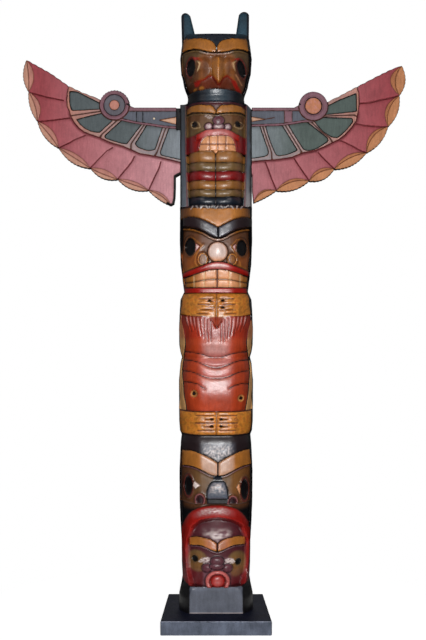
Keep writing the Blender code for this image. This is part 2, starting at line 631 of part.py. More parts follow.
def make_wing(side_name, side, pieces, cutters, material):
    """One wing board with its disc, inner panels and outer feathers."""
    wing = WINGS[side_name]
    outline = wing_outline(wing, side)
    back = WING_THICKNESS - WING_FRONT
    board = add_object(f"wing_{side_name}", prism_mesh(f"wing_{side_name}", outline, -WING_FRONT, back),
                       pieces, material)
    x, z, radius = wing["disc"]
    radius -= DISC_RIM
    rim = [(x + radius * math.cos(a), z + radius * math.sin(a)) for a in np.linspace(0, math.tau, 33)[:-1]]
    disc = prism_mesh(f"disc_{side_name}", rim, -WING_FRONT - DISC_PROUD, back - 1.0)
    add_boolean(board, add_cutter(f"disc_{side_name}", disc, cutters), "UNION")
    cuts = []
    for i, corners in enumerate(wing["panels"]):
        name = f"panel_{side_name}_{i}"
        sunk = prism_mesh(name, corners, -WING_FRONT - PROUD, -WING_FRONT + PANEL_DEPTH)
        cuts.append(add_cutter(name, sunk, cutters))
    for i, (inner, outer) in enumerate(zip(wing["inner"], wing["tips"][1:])):
        end = tuple(a + GROOVE_REACH * (b - a) for a, b in zip(inner, outer))
        name = f"feather_{side_name}_{i}"
        cuts.append(add_cutter(name, groove_mesh(name, inner, end, GROOVE_DEPTH), cutters))
    for cutter in cuts:
        add_boolean(board, cutter, "DIFFERENCE")
    return board


def make_base_board(pieces, material):
    """The square board that the log stands on."""
    half = BOARD_WIDTH / 2
    mesh = block_mesh("base_board", (-half, -half, 0), (half, half, BOARD_THICKNESS), BOARD_EDGE)
    for vertex in mesh.vertices:
        towards_back = (vertex.co.y / (half * MM) + 1.0) / 2.0
        vertex.co.x *= 1.0 + (BOARD_BACK_SHARE - 1.0) * towards_back
    return add_object("base_board", mesh, pieces, material)


def main():
    tidy_scene()
    pieces = bpy.data.collections.new("totem_pole")
    cutters = bpy.data.collections.new("cutters")
    for collection in (pieces, cutters):
        bpy.context.scene.collection.children.link(collection)
    make_pole(pieces, cutters, make_material("pole_paint", (0.26, 0.12, 0.05), 0.4))
    wing_paint = make_material("wing_paint", (0.33, 0.09, 0.09), 0.55)
    make_wing("left", -1, pieces, cutters, wing_paint)
    make_wing("right", 1, pieces, cutters, wing_paint)
    make_base_board(pieces, make_material("base_paint", (0.06, 0.075, 0.1), 0.45))


main()
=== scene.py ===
"""A carved and painted totem pole: the finished look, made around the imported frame.

Laid out as an add-on and run as a script. The log is rolled up from a fine grid, carved by height
and painted coat by coat; the wings are boards cut to their outline and carved the same way.
Lengths are in millimetres until MM turns them into Blender's metres. The figures face -Y.
"""
import math
from contextlib import contextmanager

import bpy
import numpy as np
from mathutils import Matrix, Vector, noise


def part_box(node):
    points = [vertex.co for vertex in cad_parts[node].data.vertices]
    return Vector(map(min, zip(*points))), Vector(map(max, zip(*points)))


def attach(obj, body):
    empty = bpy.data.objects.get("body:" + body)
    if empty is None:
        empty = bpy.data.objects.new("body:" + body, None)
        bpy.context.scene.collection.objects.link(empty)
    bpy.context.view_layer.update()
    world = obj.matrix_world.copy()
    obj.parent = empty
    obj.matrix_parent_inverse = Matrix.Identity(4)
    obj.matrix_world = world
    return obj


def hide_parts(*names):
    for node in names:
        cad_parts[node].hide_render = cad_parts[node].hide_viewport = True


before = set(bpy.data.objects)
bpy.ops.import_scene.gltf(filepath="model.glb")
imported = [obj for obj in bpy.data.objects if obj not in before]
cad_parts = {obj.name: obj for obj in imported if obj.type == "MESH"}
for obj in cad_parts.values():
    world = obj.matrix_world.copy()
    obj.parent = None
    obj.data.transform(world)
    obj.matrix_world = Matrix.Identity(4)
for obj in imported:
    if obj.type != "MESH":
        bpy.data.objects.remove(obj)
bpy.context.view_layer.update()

bl_info = {
    "name": "Totem Pole",
    "version": (1, 0, 0),
    "blender": (4, 5, 0),
    "location": "View3D > Sidebar > Totem Pole",
    "description": "Carves and paints a winged totem pole on its board",
    "category": "Object",
}

MM = 0.001
BODY = "root"
FAR = 60.0                   # a coat's field where the coat's edge is nowhere near


# ---------------------------------------------------------------- paints

POLE_PAINTS = {              # hand-mixed acrylics over the bare log, sRGB
    "black": "070609",       # lamp black: eyes, seams, sides and back
    "night": "141a24",       # blue-black: crown, collar
    "teal": "223b48",        # the ears
    "slate": "565a66",       # posts, foot, the fourth figure's nose
    "gold": "9a5f24",        # ochre: brows, bands
    "amber": "c37b2b",       # brighter ochre: hands and arms
    "peach": "cd8d63",       # teeth
    "cream": "d8b88a",       # corners of the eyes
    "red": "8e120a",         # lips and hood
    "terracotta": "a0381a",  # the seated figure's trunk
    "russet": "57241c",      # rims of the eyes
    "brown": "5c3720",       # cheeks
    "olive": "695030",       # hollows round the eyes
    "maroon": "481820",      # the lowest figure's face
    "mauve": "6d4650",       # noses
    "rose": "b0605c",        # lighter lips and strokes of hair
    "aubergine": "201316",   # dark brows and foreheads
    "wear_and_highlight": "cdbdb8",        # paint rubbed thin and pale, and painted highlights and glints
}
WING_PAINTS = {
    "black": "0c0908",
    "feather": "903f45",     # rose red
    "shade": "5c1c20",       # the darker red under the panels and in the cuts
    "tan": "b06e3a",         # tips and the lines round the panels
    "line": "4a261a",        # brown lining
    "slate": "4b5652",       # green-grey panels
    "bar": "555862",         # grey bar and ring
    "mauve": "7a5660",       # the disc's outer ring
    "cream": "d9c6a8",
    "pale": "858b92",        # slate made paler near the log: painted sheen
    "pink_sheen_and_tint": "b9848a",       # pale pink: painted sheen on the feathers towards the root, and a tint elsewhere
}
BOARD_PAINTS = {
    "night": "121527", "slate": "565c6a", "wear_and_highlight": "8b90a0",
}


def srgb(text):
    """A colour written as sRGB hex, made linear."""
    parts = [int(text[i:i + 2], 16) / 255.0 for i in (0, 2, 4)]
    return tuple(c / 12.92 if c <= 0.04045 else ((c + 0.055) / 1.055) ** 2.4 for c in parts)


# ---------------------------------------------------------------- carving and painting

def curve(x, points):
    """The height at x of a smooth line through a few points."""
    across, up = np.array(points, float).T
    slope = np.gradient(up, across)
    i = np.clip(np.searchsorted(across, x) - 1, 0, len(across) - 2)
    step = across[i + 1] - across[i]
    t = np.clip((x - across[i]) / step, 0, 1)
    rest = 1 - t
    return (up[i] * (1 + 2 * t) * rest ** 2 + slope[i] * step * t * rest ** 2
            + up[i + 1] * t * t * (3 - 2 * t) - slope[i + 1] * step * t * t * rest)


def above(x, z, points):
    """How far a point lies above a smooth line, measured squarely to it."""
    slope = 0.5 * (curve(x + 1, points) - curve(x - 1, points))
    return (z - curve(x, points)) / np.hypot(1, slope)


def between(z, low, high):
    """A band between two heights."""
    return np.minimum(z - low, high - z)


def within(*insides):
    """What lies inside every one of some shapes."""
    return np.minimum.reduce(insides)


def turned(x, z, middle, height, turn):
    """Distances from a middle along and across its axes, turned anticlockwise by some degrees."""
    angle = math.radians(turn)
    across, up = x - middle, z - height
    return (across * math.cos(angle) + up * math.sin(angle),
            up * math.cos(angle) - across * math.sin(angle))


def oval(x, z, middle, height, half_width, half_height, turn=0):
    """How far inside an oval a point lies."""
    along, aside = turned(x, z, middle, height, turn)
    return (1 - np.hypot(along / half_width, aside / half_height)) * min(half_width, half_height)


def almond(x, z, middle, height, half_width, half_height, turn=0):
    """How far inside a lens with a point at each end a point lies."""
    along, aside = turned(x, z, middle, height, turn)
    return (half_height * (1 - (along / half_width) ** 2) - abs(aside)) * 0.8


def stroke(x, z, points):
    """The distance from a line of straight stretches."""
    nearest = np.full_like(x, FAR)
    for (x0, z0), (x1, z1) in zip(points, points[1:]):
        run, climb = x1 - x0, z1 - z0
        t = np.clip(((x - x0) * run + (z - z0) * climb) / (run * run + climb * climb), 0, 1)
        nearest = np.minimum(nearest, np.hypot(x - x0 - t * run, z - z0 - t * climb))
    return nearest


def polygon(x, z, corners):
    """How far inside a shape with straight sides a point lies."""
    odd = np.zeros(x.shape, bool)
    for (x0, z0), (x1, z1) in zip(corners, corners[1:] + corners[:1]):
        crosses = (z0 > z) != (z1 > z)
        rise = z1 - z0 if z1 != z0 else 1e-9
        odd ^= crosses & (x < x0 + (z - z0) * (x1 - x0) / rise)
    distance = stroke(x, z, corners + corners[:1])
    return np.where(odd, distance, -distance)


def rounded(x, z, corners, softness=2):
    """How far inside a convex shape a point lies, its corners rounded off."""
    middle = np.mean(corners, axis=0)
    total = np.zeros_like(x)
    for (x0, z0), (x1, z1) in zip(corners, corners[1:] + corners[:1]):
        length = math.hypot(x1 - x0, z1 - z0)
        across, up = (z1 - z0) / length, -(x1 - x0) / length
        facing = math.copysign(1, (middle[0] - x0) * across + (middle[1] - z0) * up)
        inside = facing * ((x - x0) * across + (z - z0) * up)
        total += np.exp(np.clip(-inside / softness, -40, 40))
    return -softness * np.log(total)


def flecks(x, z, width, height):
    """Irregular patches of about a given width and height: a share from 0 to 1."""
    values = np.array([noise.noise(Vector((a / width, b / height, 0))) for a, b in zip(x, z)])
    return np.clip(0.5 + 1.4 * values, 0, 1)


def soft(inside, reach):
    """A share that grows from nothing at a shape's edge to one at some distance inside."""
    return np.clip(inside / reach, 0, 1)


def over(inside, bevel):
    """A share that passes from nothing to one across a shape's edge."""
    return np.clip(inside / bevel + 0.5, 0, 1)


def dome(inside, reach, height):
    """A rounded rise from nothing at an edge to its full height, some reach inside."""
    t = np.clip(inside / reach, 0, 1)
    return height * np.sqrt(t * (2 - t))


class Skin:
    """A carved and painted surface, seen square from the front.

    relief is the height against the uncarved wood. Each coat of paint is a field: how far inside
    the coat's edge a point lies. Its edge then stays sharp between the points of the mesh. Washes are
    thin colour with soft edges over the coats, held as a share and a colour: tints, and also painted
    highlights and painted shade.
    """

    def __init__(self, x, z, paints, ground, level=0):
        self.x, self.z, self.paints = x, z, paints
        self.relief = np.full_like(x, level)
        self.coats = {name: np.full_like(x, FAR if name == ground else -FAR) for name in paints}
        self.tint_and_painted_light = np.zeros((len(x), 4))

    def lay(self, inside, height, bevel=3, coat=None):
        """Give the points inside a shape their own height, down a slope at its edge, and a coat."""
        share = over(inside, bevel)
        share = share * share * (3 - 2 * share)
        self.relief += (height - self.relief) * share
        if coat:
            self.paint(inside, coat)

    def raise_lobe(self, inside, level, rise, reach, coat=None):
        """A rounded lobe that stands out of what is there, with its coat."""
        lobe = self.relief + (level + dome(inside, reach, rise) - self.relief) * over(inside, 3)
        self.relief = np.maximum(self.relief, lobe)
        if coat:
            self.paint(inside, coat)

    def paint(self, inside, coat):
        """Brush one coat over whatever is there."""
        for name, field in self.coats.items():
            if name == coat:
                np.maximum(field, inside, out=field)
            else:
                np.minimum(field, -inside, out=field)
        self.tint_and_painted_light *= 1 - over(inside, 1)[:, None]

    def wash(self, coat, strength, *fades):
        """Lay a thin wash of a paint, as strong as the product of some shares: tints, painted highlights,
        painted shade.

        A share is an array, or a distance inside an edge and the reach over which it grows from 0 to 1.
        """
        share = 1.0
        for fade in fades:
            share = share * (soft(*fade) if isinstance(fade, tuple) else fade)
        share = strength * np.clip(share, 0, 1)[:, None]
        self.tint_and_painted_light = self.tint_and_painted_light * (1 - share) + share * np.array((*srgb(self.paints[coat]), 1))

    def glaze(self, mixture, *fades):
        """Lay one wash over another in the same place, each as strong as the mixture says."""
        for coat, strength in mixture.items():
            self.wash(coat, strength, *fades)

    def cut(self, distance, width, depth, coat=None, lining=0.4):
        """A rounded groove along a line, lined with paint to a share of its width.

        It stands up as a ridge where its depth is negative.
        """
        self.relief -= depth * np.exp(-(2 * distance / width) ** 2)
        if coat:
            self.paint(lining * width - abs(distance), coat)

    def merge(self, other, where, inside, bevel=1.5):
        """Take over another skin's carving and paint inside a shape."""
        self.relief[where] += (other.relief - self.relief[where]) * over(inside, bevel)
        self.tint_and_painted_light[where] += (other.tint_and_painted_light - self.tint_and_painted_light[where]) * over(inside, 1)[:, None]
        for name, field in self.coats.items():
            left, taken = np.minimum(field[where], -inside), np.minimum(other.coats[name], inside)
            field[where] = np.maximum(left, taken)


# ---------------------------------------------------------------- the figures

def carve_brows(skin, face):
    """Forehead, ground and two raised brow lobes that meet at a groove, with lined edges."""
    forehead_coat, brow_coat, rim_coat = face["brow_coats"]
    across = abs(skin.x - face["middle"])
    low, high = above(across, skin.z, face["brow_bottom"]), above(across, skin.z, face["brow_top"])
    reach = face["brow_reach"] - across
    skin.lay(high, face["forehead"], coat=forehead_coat)
    width, depth = face["rim"]
    rim = within(0.5 * width - abs(low + depth), reach)
    skin.lay(rim, face["ground"] + 3, 2.5, coat=rim_coat)
    # painted highlight along the rim under the brows
    skin.wash("wear_and_highlight", face["glint"], (rim, 1), (44 - across, 24))
    lobes = within(low, -high, across - 1, reach)
    skin.lay(lobes, face["brow"] + dome(lobes, 9, 1.6) - 1, 2.5)
    skin.paint(within(low, -high, reach), brow_coat)
    skin.paint(within(1.3 - abs(low + 0.6), reach + 2), "black")
    skin.paint(within(0.9 - abs(high - 0.8), reach + 2), "black")
    skin.paint(within(1.3 - across, low, -high), "aubergine")


def carve_eye(skin, face, shape, rim_coat="russet"):
    """A hollow eye with a raised, painted lid around it."""
    lid, rise, depth = face["lids"]
    inside = oval(skin.x, skin.z, *shape)
    skin.lay(inside + lid, face["ground"] + rise, 4, coat=rim_coat)
    skin.lay(inside, face["ground"] - depth, 5, coat="black")


EAGLE = {
    "middle": 1, "ground": -9, "forehead": -2, "brow": 0, "brow_reach": 84, "rim": (3.6, 3.6), "glint": 1,
    "brow_top": [(0, 1391), (5, 1403), (14, 1411), (28, 1415), (46, 1418), (60, 1419.5), (86, 1417)],
    "brow_bottom": [(0, 1383), (15, 1383.5), (27, 1386), (40, 1391), (52, 1394), (62, 1395), (86, 1396)],
    "brow_coats": ("night", "gold", "olive"),
    "eyes": [(-61, 1354, 10.3, 20, -1), (61.5, 1351, 10, 19.5, 14)], "lids": (3.2, 3, 4),
    "rims": [(-62, 1351, 17, 27, -1), (63, 1348, 16.5, 27, 12)],
    "stripes": [[(-56, 1377), (-40, 1374), (-31, 1367), (-33, 1357), (-38, 1365), (-54, 1371)],
                [(33, 1366), (46, 1373), (56, 1374), (54, 1369), (46, 1368), (35, 1359)]],
    "corners": [[(-48, 1369), (-35, 1360), (-40, 1346), (-48, 1336), (-42, 1357)],
                [(36, 1360), (50, 1368), (44, 1358), (48, 1338), (41, 1348)]],
    "cheeks": [(36, 1336, 22, 34, 10), (-34, 1336, 22, 34, -10)], "beak_middle": 5, "beak_slope": 0.5,
    "beak_reach": (1309, 1373), "beak_crest": [(1304, 1), (1312, 5), (1330, 5.5), (1352, 2), (1375, -4)],
    "beak_edge": [(1304, 3), (1312, 5), (1322, 10), (1332, 13), (1348, 15), (1374, 16)],
    "mouth": [(-70, 1319), (-60, 1320), (-45, 1319), (-27, 1322), (-19, 1327), (-11, 1328), (-2, 1319),
              (7, 1309), (17, 1323), (27, 1329), (35, 1324), (45, 1317), (57, 1302), (70, 1288)],
    "lips": [[(-54, 1318), (-39, 1320), (-37, 1315), (-42, 1308), (-51, 1307)],
             [(35, 1320), (47, 1320), (53, 1311), (61, 1303), (64, 1294), (56, 1292), (48, 1300),
              (42, 1309)]],
    "jaw_corners": [(-35, 1303, 8, 5.5, 0), (-51, 1302, 6, 4, 20), (63, 1304, 7, 5, -20)],
    "collar_foot": 1266,
    "collar_top": [(-80, 1294), (-62, 1296), (-40, 1298), (0, 1300), (40, 1298), (64, 1295), (80, 1293)],
}


def eagle_beak(skin):
    """A ridged beak, gold down its middle and brown on its shaded side, with a painted highlight along its
    crest.
    """
    x, z = skin.x, skin.z
    aside = abs(x - EAGLE["beak_middle"])
    low, high = EAGLE["beak_reach"]
    edge = curve(z, EAGLE["beak_edge"]) - aside
    crest = curve(z, EAGLE["beak_crest"]) - EAGLE["beak_slope"] * aside
    skin.lay(within(edge, z - low, high - z), crest, 6)
    beak = soft(edge, 9) * soft(z - low, 4) * soft(high + 3 - z, 5)
    skin.wash("gold", 0.95, (edge + 11, 20), (z - low, 8), (high + 3 - z, 16))
    skin.wash("brown", 0.25, (edge, 6), (z - low, 6), (high - z, 6))
    # painted highlight along the crest
    skin.wash("amber", 0.6, (1.6 - abs(x - 5.5), 1.5), beak)
    skin.wash("brown", 0.6, (x - 8, 6), beak)


def eagle_jaw(skin):
    """The wavy mouth with its lips, the jaw that slopes in under it, and the smooth collar, with painted
    sheen in the collar's middle and painted shade at its sides.
    """
    x, z = skin.x, skin.z
    mouth = curve(x, EAGLE["mouth"])
    collar = curve(x, EAGLE["collar_top"])
    jaw = within(z - collar, mouth - z)
    skin.lay(jaw, -7.5 - 0.45 * np.clip(mouth - z, 0, 24), 4, coat="brown")
    skin.wash("terracotta", 0.4, (jaw, 2), (46 - abs(x + 2), 14))
    skin.glaze({"russet": 0.2, "black": 0.4}, (jaw, 2))
    for corner in EAGLE["jaw_corners"]:
        skin.wash("gold", 0.9, (within(oval(x, z, *corner), jaw), 2.5))
    mouth_line = above(x, z, EAGLE["mouth"])
    skin.cut(mouth_line, 7, 2)
    skin.wash("red", 0.65, (2.6 - abs(mouth_line), 1.6), (56 - abs(x), 12))
    for lip in EAGLE["lips"]:
        skin.wash("red", 0.8, (polygon(x, z, lip) + 1, 3))
    low = EAGLE["collar_foot"]
    skin.lay(collar - z, dome(within(collar - z, z - low), 10, 3) - 4.5, coat="night")
    # painted sheen in the collar's middle, and painted shade at its sides
    skin.wash("teal", 0.45, (collar - z, 2), (34 - abs(x - 4), 20))
    skin.wash("black", 0.8, (collar - z, 2), (abs(x - 4) - 26, 26))
    skin.paint(low - z, "maroon")


def eagle_head(skin):
    """The top figure: broad brows, deep eyes and a ridged beak over a smooth collar."""
    x, z = skin.x, skin.z
    skin.glaze({"olive": 0.85, "black": 0.25}, (z - 1360, 20))
    carve_brows(skin, EAGLE)
    for cheek in EAGLE["cheeks"]:
        skin.lay(oval(x, z, *cheek), -4.5, 10)
    for rim in EAGLE["rims"]:
        skin.wash("russet", 0.8, (oval(x, z, *rim), 6))
    for eye in EAGLE["eyes"]:
        carve_eye(skin, EAGLE, eye)
    eyes = [oval(x, z, *eye) for eye in EAGLE["eyes"]]
    for corner, eye in zip(EAGLE["corners"], eyes):
        skin.wash("cream", 0.9, (within(polygon(x, z, corner), -eye), 1.5))
    for stripe in EAGLE["stripes"]:
        skin.wash("red", 0.8, (polygon(x, z, stripe) + 0.8, 2))
    skin.wash("peach", 0.5, 2 - stroke(x, z, [(48, 1333), (56, 1322), (63, 1314)]))
    skin.wash("olive", 0.8, 2 - stroke(x, z, [(-48, 1365), (-49, 1350), (-56, 1330)]))
    hollow = soft(46 - abs(x - 2), 16) * soft(1384 - z, 12)
    skin.glaze({"amber": 0.75, "terracotta": 0.38, "black": 0.7}, hollow)
    eagle_beak(skin)
    eagle_jaw(skin)


WINGED = {
    "middle": 0, "ground": -6, "forehead": -3, "brow": 0, "brow_reach": 71, "rim": (2.4, 4), "glint": 0.2,
    "brow_top": [(0, 1242), (3, 1247), (8, 1253.5), (24, 1257.5), (50, 1259.5), (62, 1259), (74, 1255)],
    "brow_bottom": [(0, 1236.5), (5, 1237), (20, 1239), (40, 1241), (57, 1243.5), (74, 1244)],
    "brow_coats": ("maroon", "gold", "olive"), "eyes": [(-52, 1215.5, 7, 7.2), (53, 1217, 7, 7)],
    "eye_corners": [(-50, 1213, 15, 8.5, -32), (56, 1214, 14, 8.5, 24)],
    "nose": [(-18, 1206.5, 10, 9), (28, 1205.5, 9.5, 8.5), (6, 1206, 14, 9.5), (6, 1221, 13.5, 11)],
    "lip": [(-74, 1189), (-58, 1188), (-40, 1191), (-26, 1197), (-9, 1199), (20, 1200), (36, 1196),
            (51, 1190), (74, 1188)],
    "teeth": [(-41, 1146), (-40, 1155), (-37, 1167), (-31, 1177), (-23, 1182.5), (0, 1184), (29, 1183.5),
              (39, 1178), (44, 1168), (47, 1155), (48, 1146)],
    "chin": 1147, "bite": 1164, "gaps": (-16, 4, 23.5), "tip": [(-7, 1149), (6, 1149), (-1, 1141)],
    "limbs": (1148.5, 1120, 1099, 1076.5, 1055, 1037, 1017), "hang": 5, "wrist": (10, 68),
    "limb_coats": ("gold", "olive", "red", "gold", "olive", "night"), "crest": (33, 4.5),
    "cheek_reach": (50, 14), "glint_patch": (-17, 1230, 13, 6, -20),
}


def winged_mouth(skin):
    """An arched mouth: dark red jaws, a rose lip and a block of parted teeth."""
    x, z = skin.x, skin.z
    arch = above(x, z, WINGED["lip"])
    jaws = within(-arch, z - WINGED["chin"])
    skin.lay(jaws, -5, coat="red")
    aside, (start, reach) = abs(x - 4), WINGED["cheek_reach"]
    # darker towards the outer cheeks: partly darker paint, partly painted shade
    skin.wash("maroon", 0.6, (aside - start, reach), (jaws, 1))
    teeth = polygon(x, z, WINGED["teeth"])
    mouth = within(np.maximum(teeth + 5.5, arch + 14), jaws + 1, 54 - aside)
    skin.wash("rose", 0.9, (mouth, 2), (48 - aside, 30))
    skin.lay(mouth, dome(mouth, 6, 4) - 3.5)
    skin.paint(teeth + 1, "russet")
    skin.paint(teeth, "peach")
    skin.wash("gold", 0.3, (teeth, 1))
    skin.lay(teeth, dome(teeth, 4, 2) - 3, 2)
    for away in (*(abs(x - gap) for gap in WINGED["gaps"]), abs(z - WINGED["bite"])):
        line = np.maximum(away, -teeth)
        skin.cut(line, 4.5, 1.4)
        skin.wash("russet", 0.8, (2 - line, 1.2))


def winged_figure(skin):
    """The second figure: a face with a broad nose and a toothed mouth over folded limbs."""
    x, z = skin.x, skin.z
    skin.wash("brown", 0.75, (z - 1196, 30))
    carve_brows(skin, WINGED)
    skin.wash("olive", 0.22, (z - 1236, 2), (1262 - z, 8))
    for corner in WINGED["eye_corners"]:
        inside = almond(x, z, *corner)
        skin.lay(inside, WINGED["ground"] + 1.5, 3)
        skin.wash("cream", 0.4, 1.5 - abs(inside - 0.6))
        skin.wash("aubergine", 0.4, (inside - 2, 2))
    for eye in WINGED["eyes"]:
        inside = oval(x, z, *eye)
        skin.lay(inside, WINGED["ground"] - 4, 4, coat="black")
    for lobe in WINGED["nose"]:
        inside = oval(x, z, *lobe)
        skin.raise_lobe(inside, -4, 5, 9)
        skin.paint(1.2 + np.minimum(inside, 0), "aubergine")
        skin.paint(inside, "mauve")
        low_lobe = lobe[1] < 1215
        # the lower lobes get painted highlights, the upper one darker maroon paint
        skin.wash("wear_and_highlight" if low_lobe else "maroon", 0.3 if low_lobe else 0.9, (inside - 1, 4))
        if low_lobe:
            skin.wash("wear_and_highlight", 0.7, (inside - 3, 3), (flecks(x, z, 3, 2) - 0.5, 0.2))
    glint = soft(oval(x, z, *WINGED["glint_patch"]), 3) * soft(flecks(x, z, 3, 2) - 0.45, 0.2)
    skin.wash("wear_and_highlight", 0.6, glint)
    winged_mouth(skin)
    limbs = Skin(x, z, skin.paints, "black", -8)
    folded_limbs(limbs)
    skin.merge(limbs, slice(None), WINGED["chin"] + 1 - z)
    tip = rounded(x, z, WINGED["tip"], 0.8)
    skin.lay(tip, -2.5, 2, coat="peach")


def folded_limbs(skin):
    """The winged figure's hands, arms, knees and feet: rounded bands, parted down the middle."""
    x, z = skin.x, skin.z
    edges = WINGED["limbs"]
    across = abs(x + 1)
    reach = 72 - across
    drop, width = WINGED["wrist"]
    hang = WINGED["hang"] * (across / width) ** 2
    for i, (top, bottom, coat) in enumerate(zip(edges, edges[1:], WINGED["limb_coats"])):
        knuckle = drop * np.exp(-across / 3) + 5 * np.clip((across - 60) / 12, 0, 1)
        upper = top - knuckle if i == 0 else top + hang
        band = within(z - bottom - hang, upper - z)
        half = 0.5 * (top - bottom)
        skin.relief = np.maximum(skin.relief, dome(band, half, 6.5) - 8)
        skin.paint(within(band, reach), coat)
        toned = {"gold": "olive", "red": "maroon"}.get(coat)
        if toned:
            skin.wash(toned, 0.4, within(soft(band, 1), soft(reach, 1)))
        # a painted highlight near the top of each band, where it bulges at the sides
        skin.wash("wear_and_highlight", 0 if coat == "red" else 0.2, (7 - abs(across - 33), 5),
                  (2 - abs(upper - 5 - z), 2))
        skin.paint(within(1.1 - abs(z - bottom - hang), reach), "black")
    crest, fall = WINGED["crest"]
    skin.relief += 1 - fall * np.clip((across - crest) / crest, -1, 1) ** 2
    skin.cut(across, 6, 1.5, "aubergine", 0.2)


WATCHING = {
    "middle": 5, "ground": -9, "forehead": -2.5, "brow": 0, "brow_reach": 86, "rim": (4, 4.8),
    "glint": 0.6, "brow_top": [(0, 964.5), (12, 970.5), (28, 979), (48, 987), (66, 991.5), (88, 989)],
    "brow_bottom": [(0, 939.5), (9, 941), (19, 945.5), (30, 952), (45, 959), (60, 964), (88, 969)],
    "brow_coats": ("amber", "aubergine", "gold"), "band": [(0, 1009), (88, 1013)],
    "chips": (-58, 62, 11, 1013.5, 3.4), "eyes": [(-63, 919.5, 13, 21.5, 0), (62.5, 916.5, 12.5, 19.5, 0)],
    "lids": (3, 3, 4),
    "corners": [[(-50, 927), (-39, 919), (-50, 907)], [(47, 926), (39, 918), (46, 907)]],
    "lids_drawn": [[(-58, 941), (-50, 936), (-35, 923), (-39, 914), (-52, 899)],
                   [(57, 937), (50, 936), (37, 921), (40, 910), (51, 898)]],
    "folds": [[(-31, 923), (-44, 907), (-50, 893), (-51, 882), (-47, 872)],
              [(37, 921), (45, 907), (51, 893), (58, 882), (60, 873)]],
    "nostrils": [(-32, 888, 9.6, 12), (39, 887.5, 9.2, 11)], "nose": (4, 905.5, 23.5, 24),
    "lip_top": [(0, 882), (16, 880), (42, 871.5), (66, 863.5), (88, 856)],
    "lip_bottom": [(0, 864), (16, 863), (40, 857), (64, 850), (88, 844)], "lower_lip": (806.5, 819.5),
    "bite": [(0, 840), (24, 839), (45, 836), (70, 832.5), (88, 832)], "gaps": (-53, -29, 33, 58),
    "middle_gap": 2.5, "teeth_reach": (-76, 78),
}


def watching_eyes(skin):
    """Wide eyes with drawn lids and pale corners, and the folds beside them."""
    x, z = skin.x, skin.z
    for corner, lid, eye in zip(WATCHING["corners"], WATCHING["lids_drawn"], WATCHING["eyes"]):
        carve_eye(skin, WATCHING, eye, "brown")
        outside = -oval(x, z, *eye)
        skin.wash("gold", 0.9, within(1.4 - stroke(x, z, lid), outside))
        lens = within(polygon(x, z, corner), outside - 0.5)
        skin.paint(lens, "rose")
        skin.wash("wear_and_highlight", 0.8, (lens - 0.5, 1.5))
        skin.lay(lens, WATCHING["ground"] + 3.5, 3)
    for fold in WATCHING["folds"]:
        line = stroke(x, z, fold)
        skin.cut(line, 6, -1.6)
        skin.wash("gold", 0.85, 1.6 - line)


def watching_nose(skin):
    """A round peach nose between curled nostrils, lightened by a painted highlight."""
    x, z = skin.x, skin.z
    for nostril in WATCHING["nostrils"]:
        inside = oval(x, z, *nostril)
        skin.lay(inside + 4, -4, 3)
        skin.paint(inside + 2.2, "amber")
        skin.paint(inside - 0.2, "brown")
        skin.wash("russet", 0.6, (1.6 - abs(inside - 1.4), 1))
        skin.wash("gold", 0.5, (inside - 1, 2))
        skin.cut(inside, 4, 2)
        skin.lay(inside - 2, -5.8, 3)
    nose = oval(x, z, *WATCHING["nose"])
    skin.paint(within(nose + 1.8, z - 905), "russet")
    skin.raise_lobe(nose, -6, 10, 20, coat="peach")
    # painted highlight over the nose, fading at its bottom
    skin.wash("wear_and_highlight", 0.75, (nose, 4), (z - 884, 12))


def watching_mouth(skin):
    """A long mouth: red lips round two rows of teeth, with painted sheen on the lips."""
    x, z = skin.x, skin.z
    across = abs(x - WATCHING["middle"])
    lip_top, lip_bottom = above(across, z, WATCHING["lip_top"]), above(across, z, WATCHING["lip_bottom"])
    low, high = WATCHING["lower_lip"]
    jaws = within(z - low, -lip_top)
    skin.wash("gold", 0.9, (8 - lip_top, 5), (across - 38, 10))
    skin.lay(jaws, -5, coat="gold")
    left, right = WATCHING["teeth_reach"]
    teeth = within(z - high - 1, -lip_bottom - 1, between(x, left, right))
    skin.wash("peach", 0.9, (teeth, 1), (64 - across, 26))
    skin.relief = np.where(teeth > 0, skin.relief + dome(teeth, 6, 1.2), skin.relief)
    bite = above(across, z, WATCHING["bite"])
    skin.cut(np.maximum(abs(bite), -teeth), 5, 2, "brown", 0.24)
    for gap in WATCHING["gaps"]:
        tooth = np.maximum(abs(x - gap), -teeth)
        skin.cut(tooth, 5, 1.2)
        skin.wash("cream", 0.85, 1.5 - tooth)
    skin.cut(np.maximum(abs(x - WATCHING["middle_gap"]), -teeth), 5, 2.2, "russet", 0.36)
    skin.paint(within(1.3 - abs(teeth), between(z, high, 858), across - 60), "russet")
    upper = within(lip_bottom, -lip_top)
    skin.paint(within(1.2 - abs(upper), z - high), "aubergine")
    skin.lay(upper, dome(upper, 8, 4.5) - 3.5)
    skin.paint(upper - 0.6, "red")
    # painted sheen on the middle of the upper lip
    skin.wash("rose", 0.8, (upper, 3), (34 - across, 20))
    skin.wash("wear_and_highlight", 0.5, (upper - 3, 5), (28 - across, 14))
    lower = between(z, low, high)
    skin.paint(1.2 - abs(lower), "aubergine")
    skin.lay(lower, dome(lower, 7, 4) - 3)
    skin.paint(lower - 0.6, "red")
    # painted sheen on the middle of the lower lip
    skin.wash("rose", 0.7, (lower - 1.5, 3), (38 - across, 20))


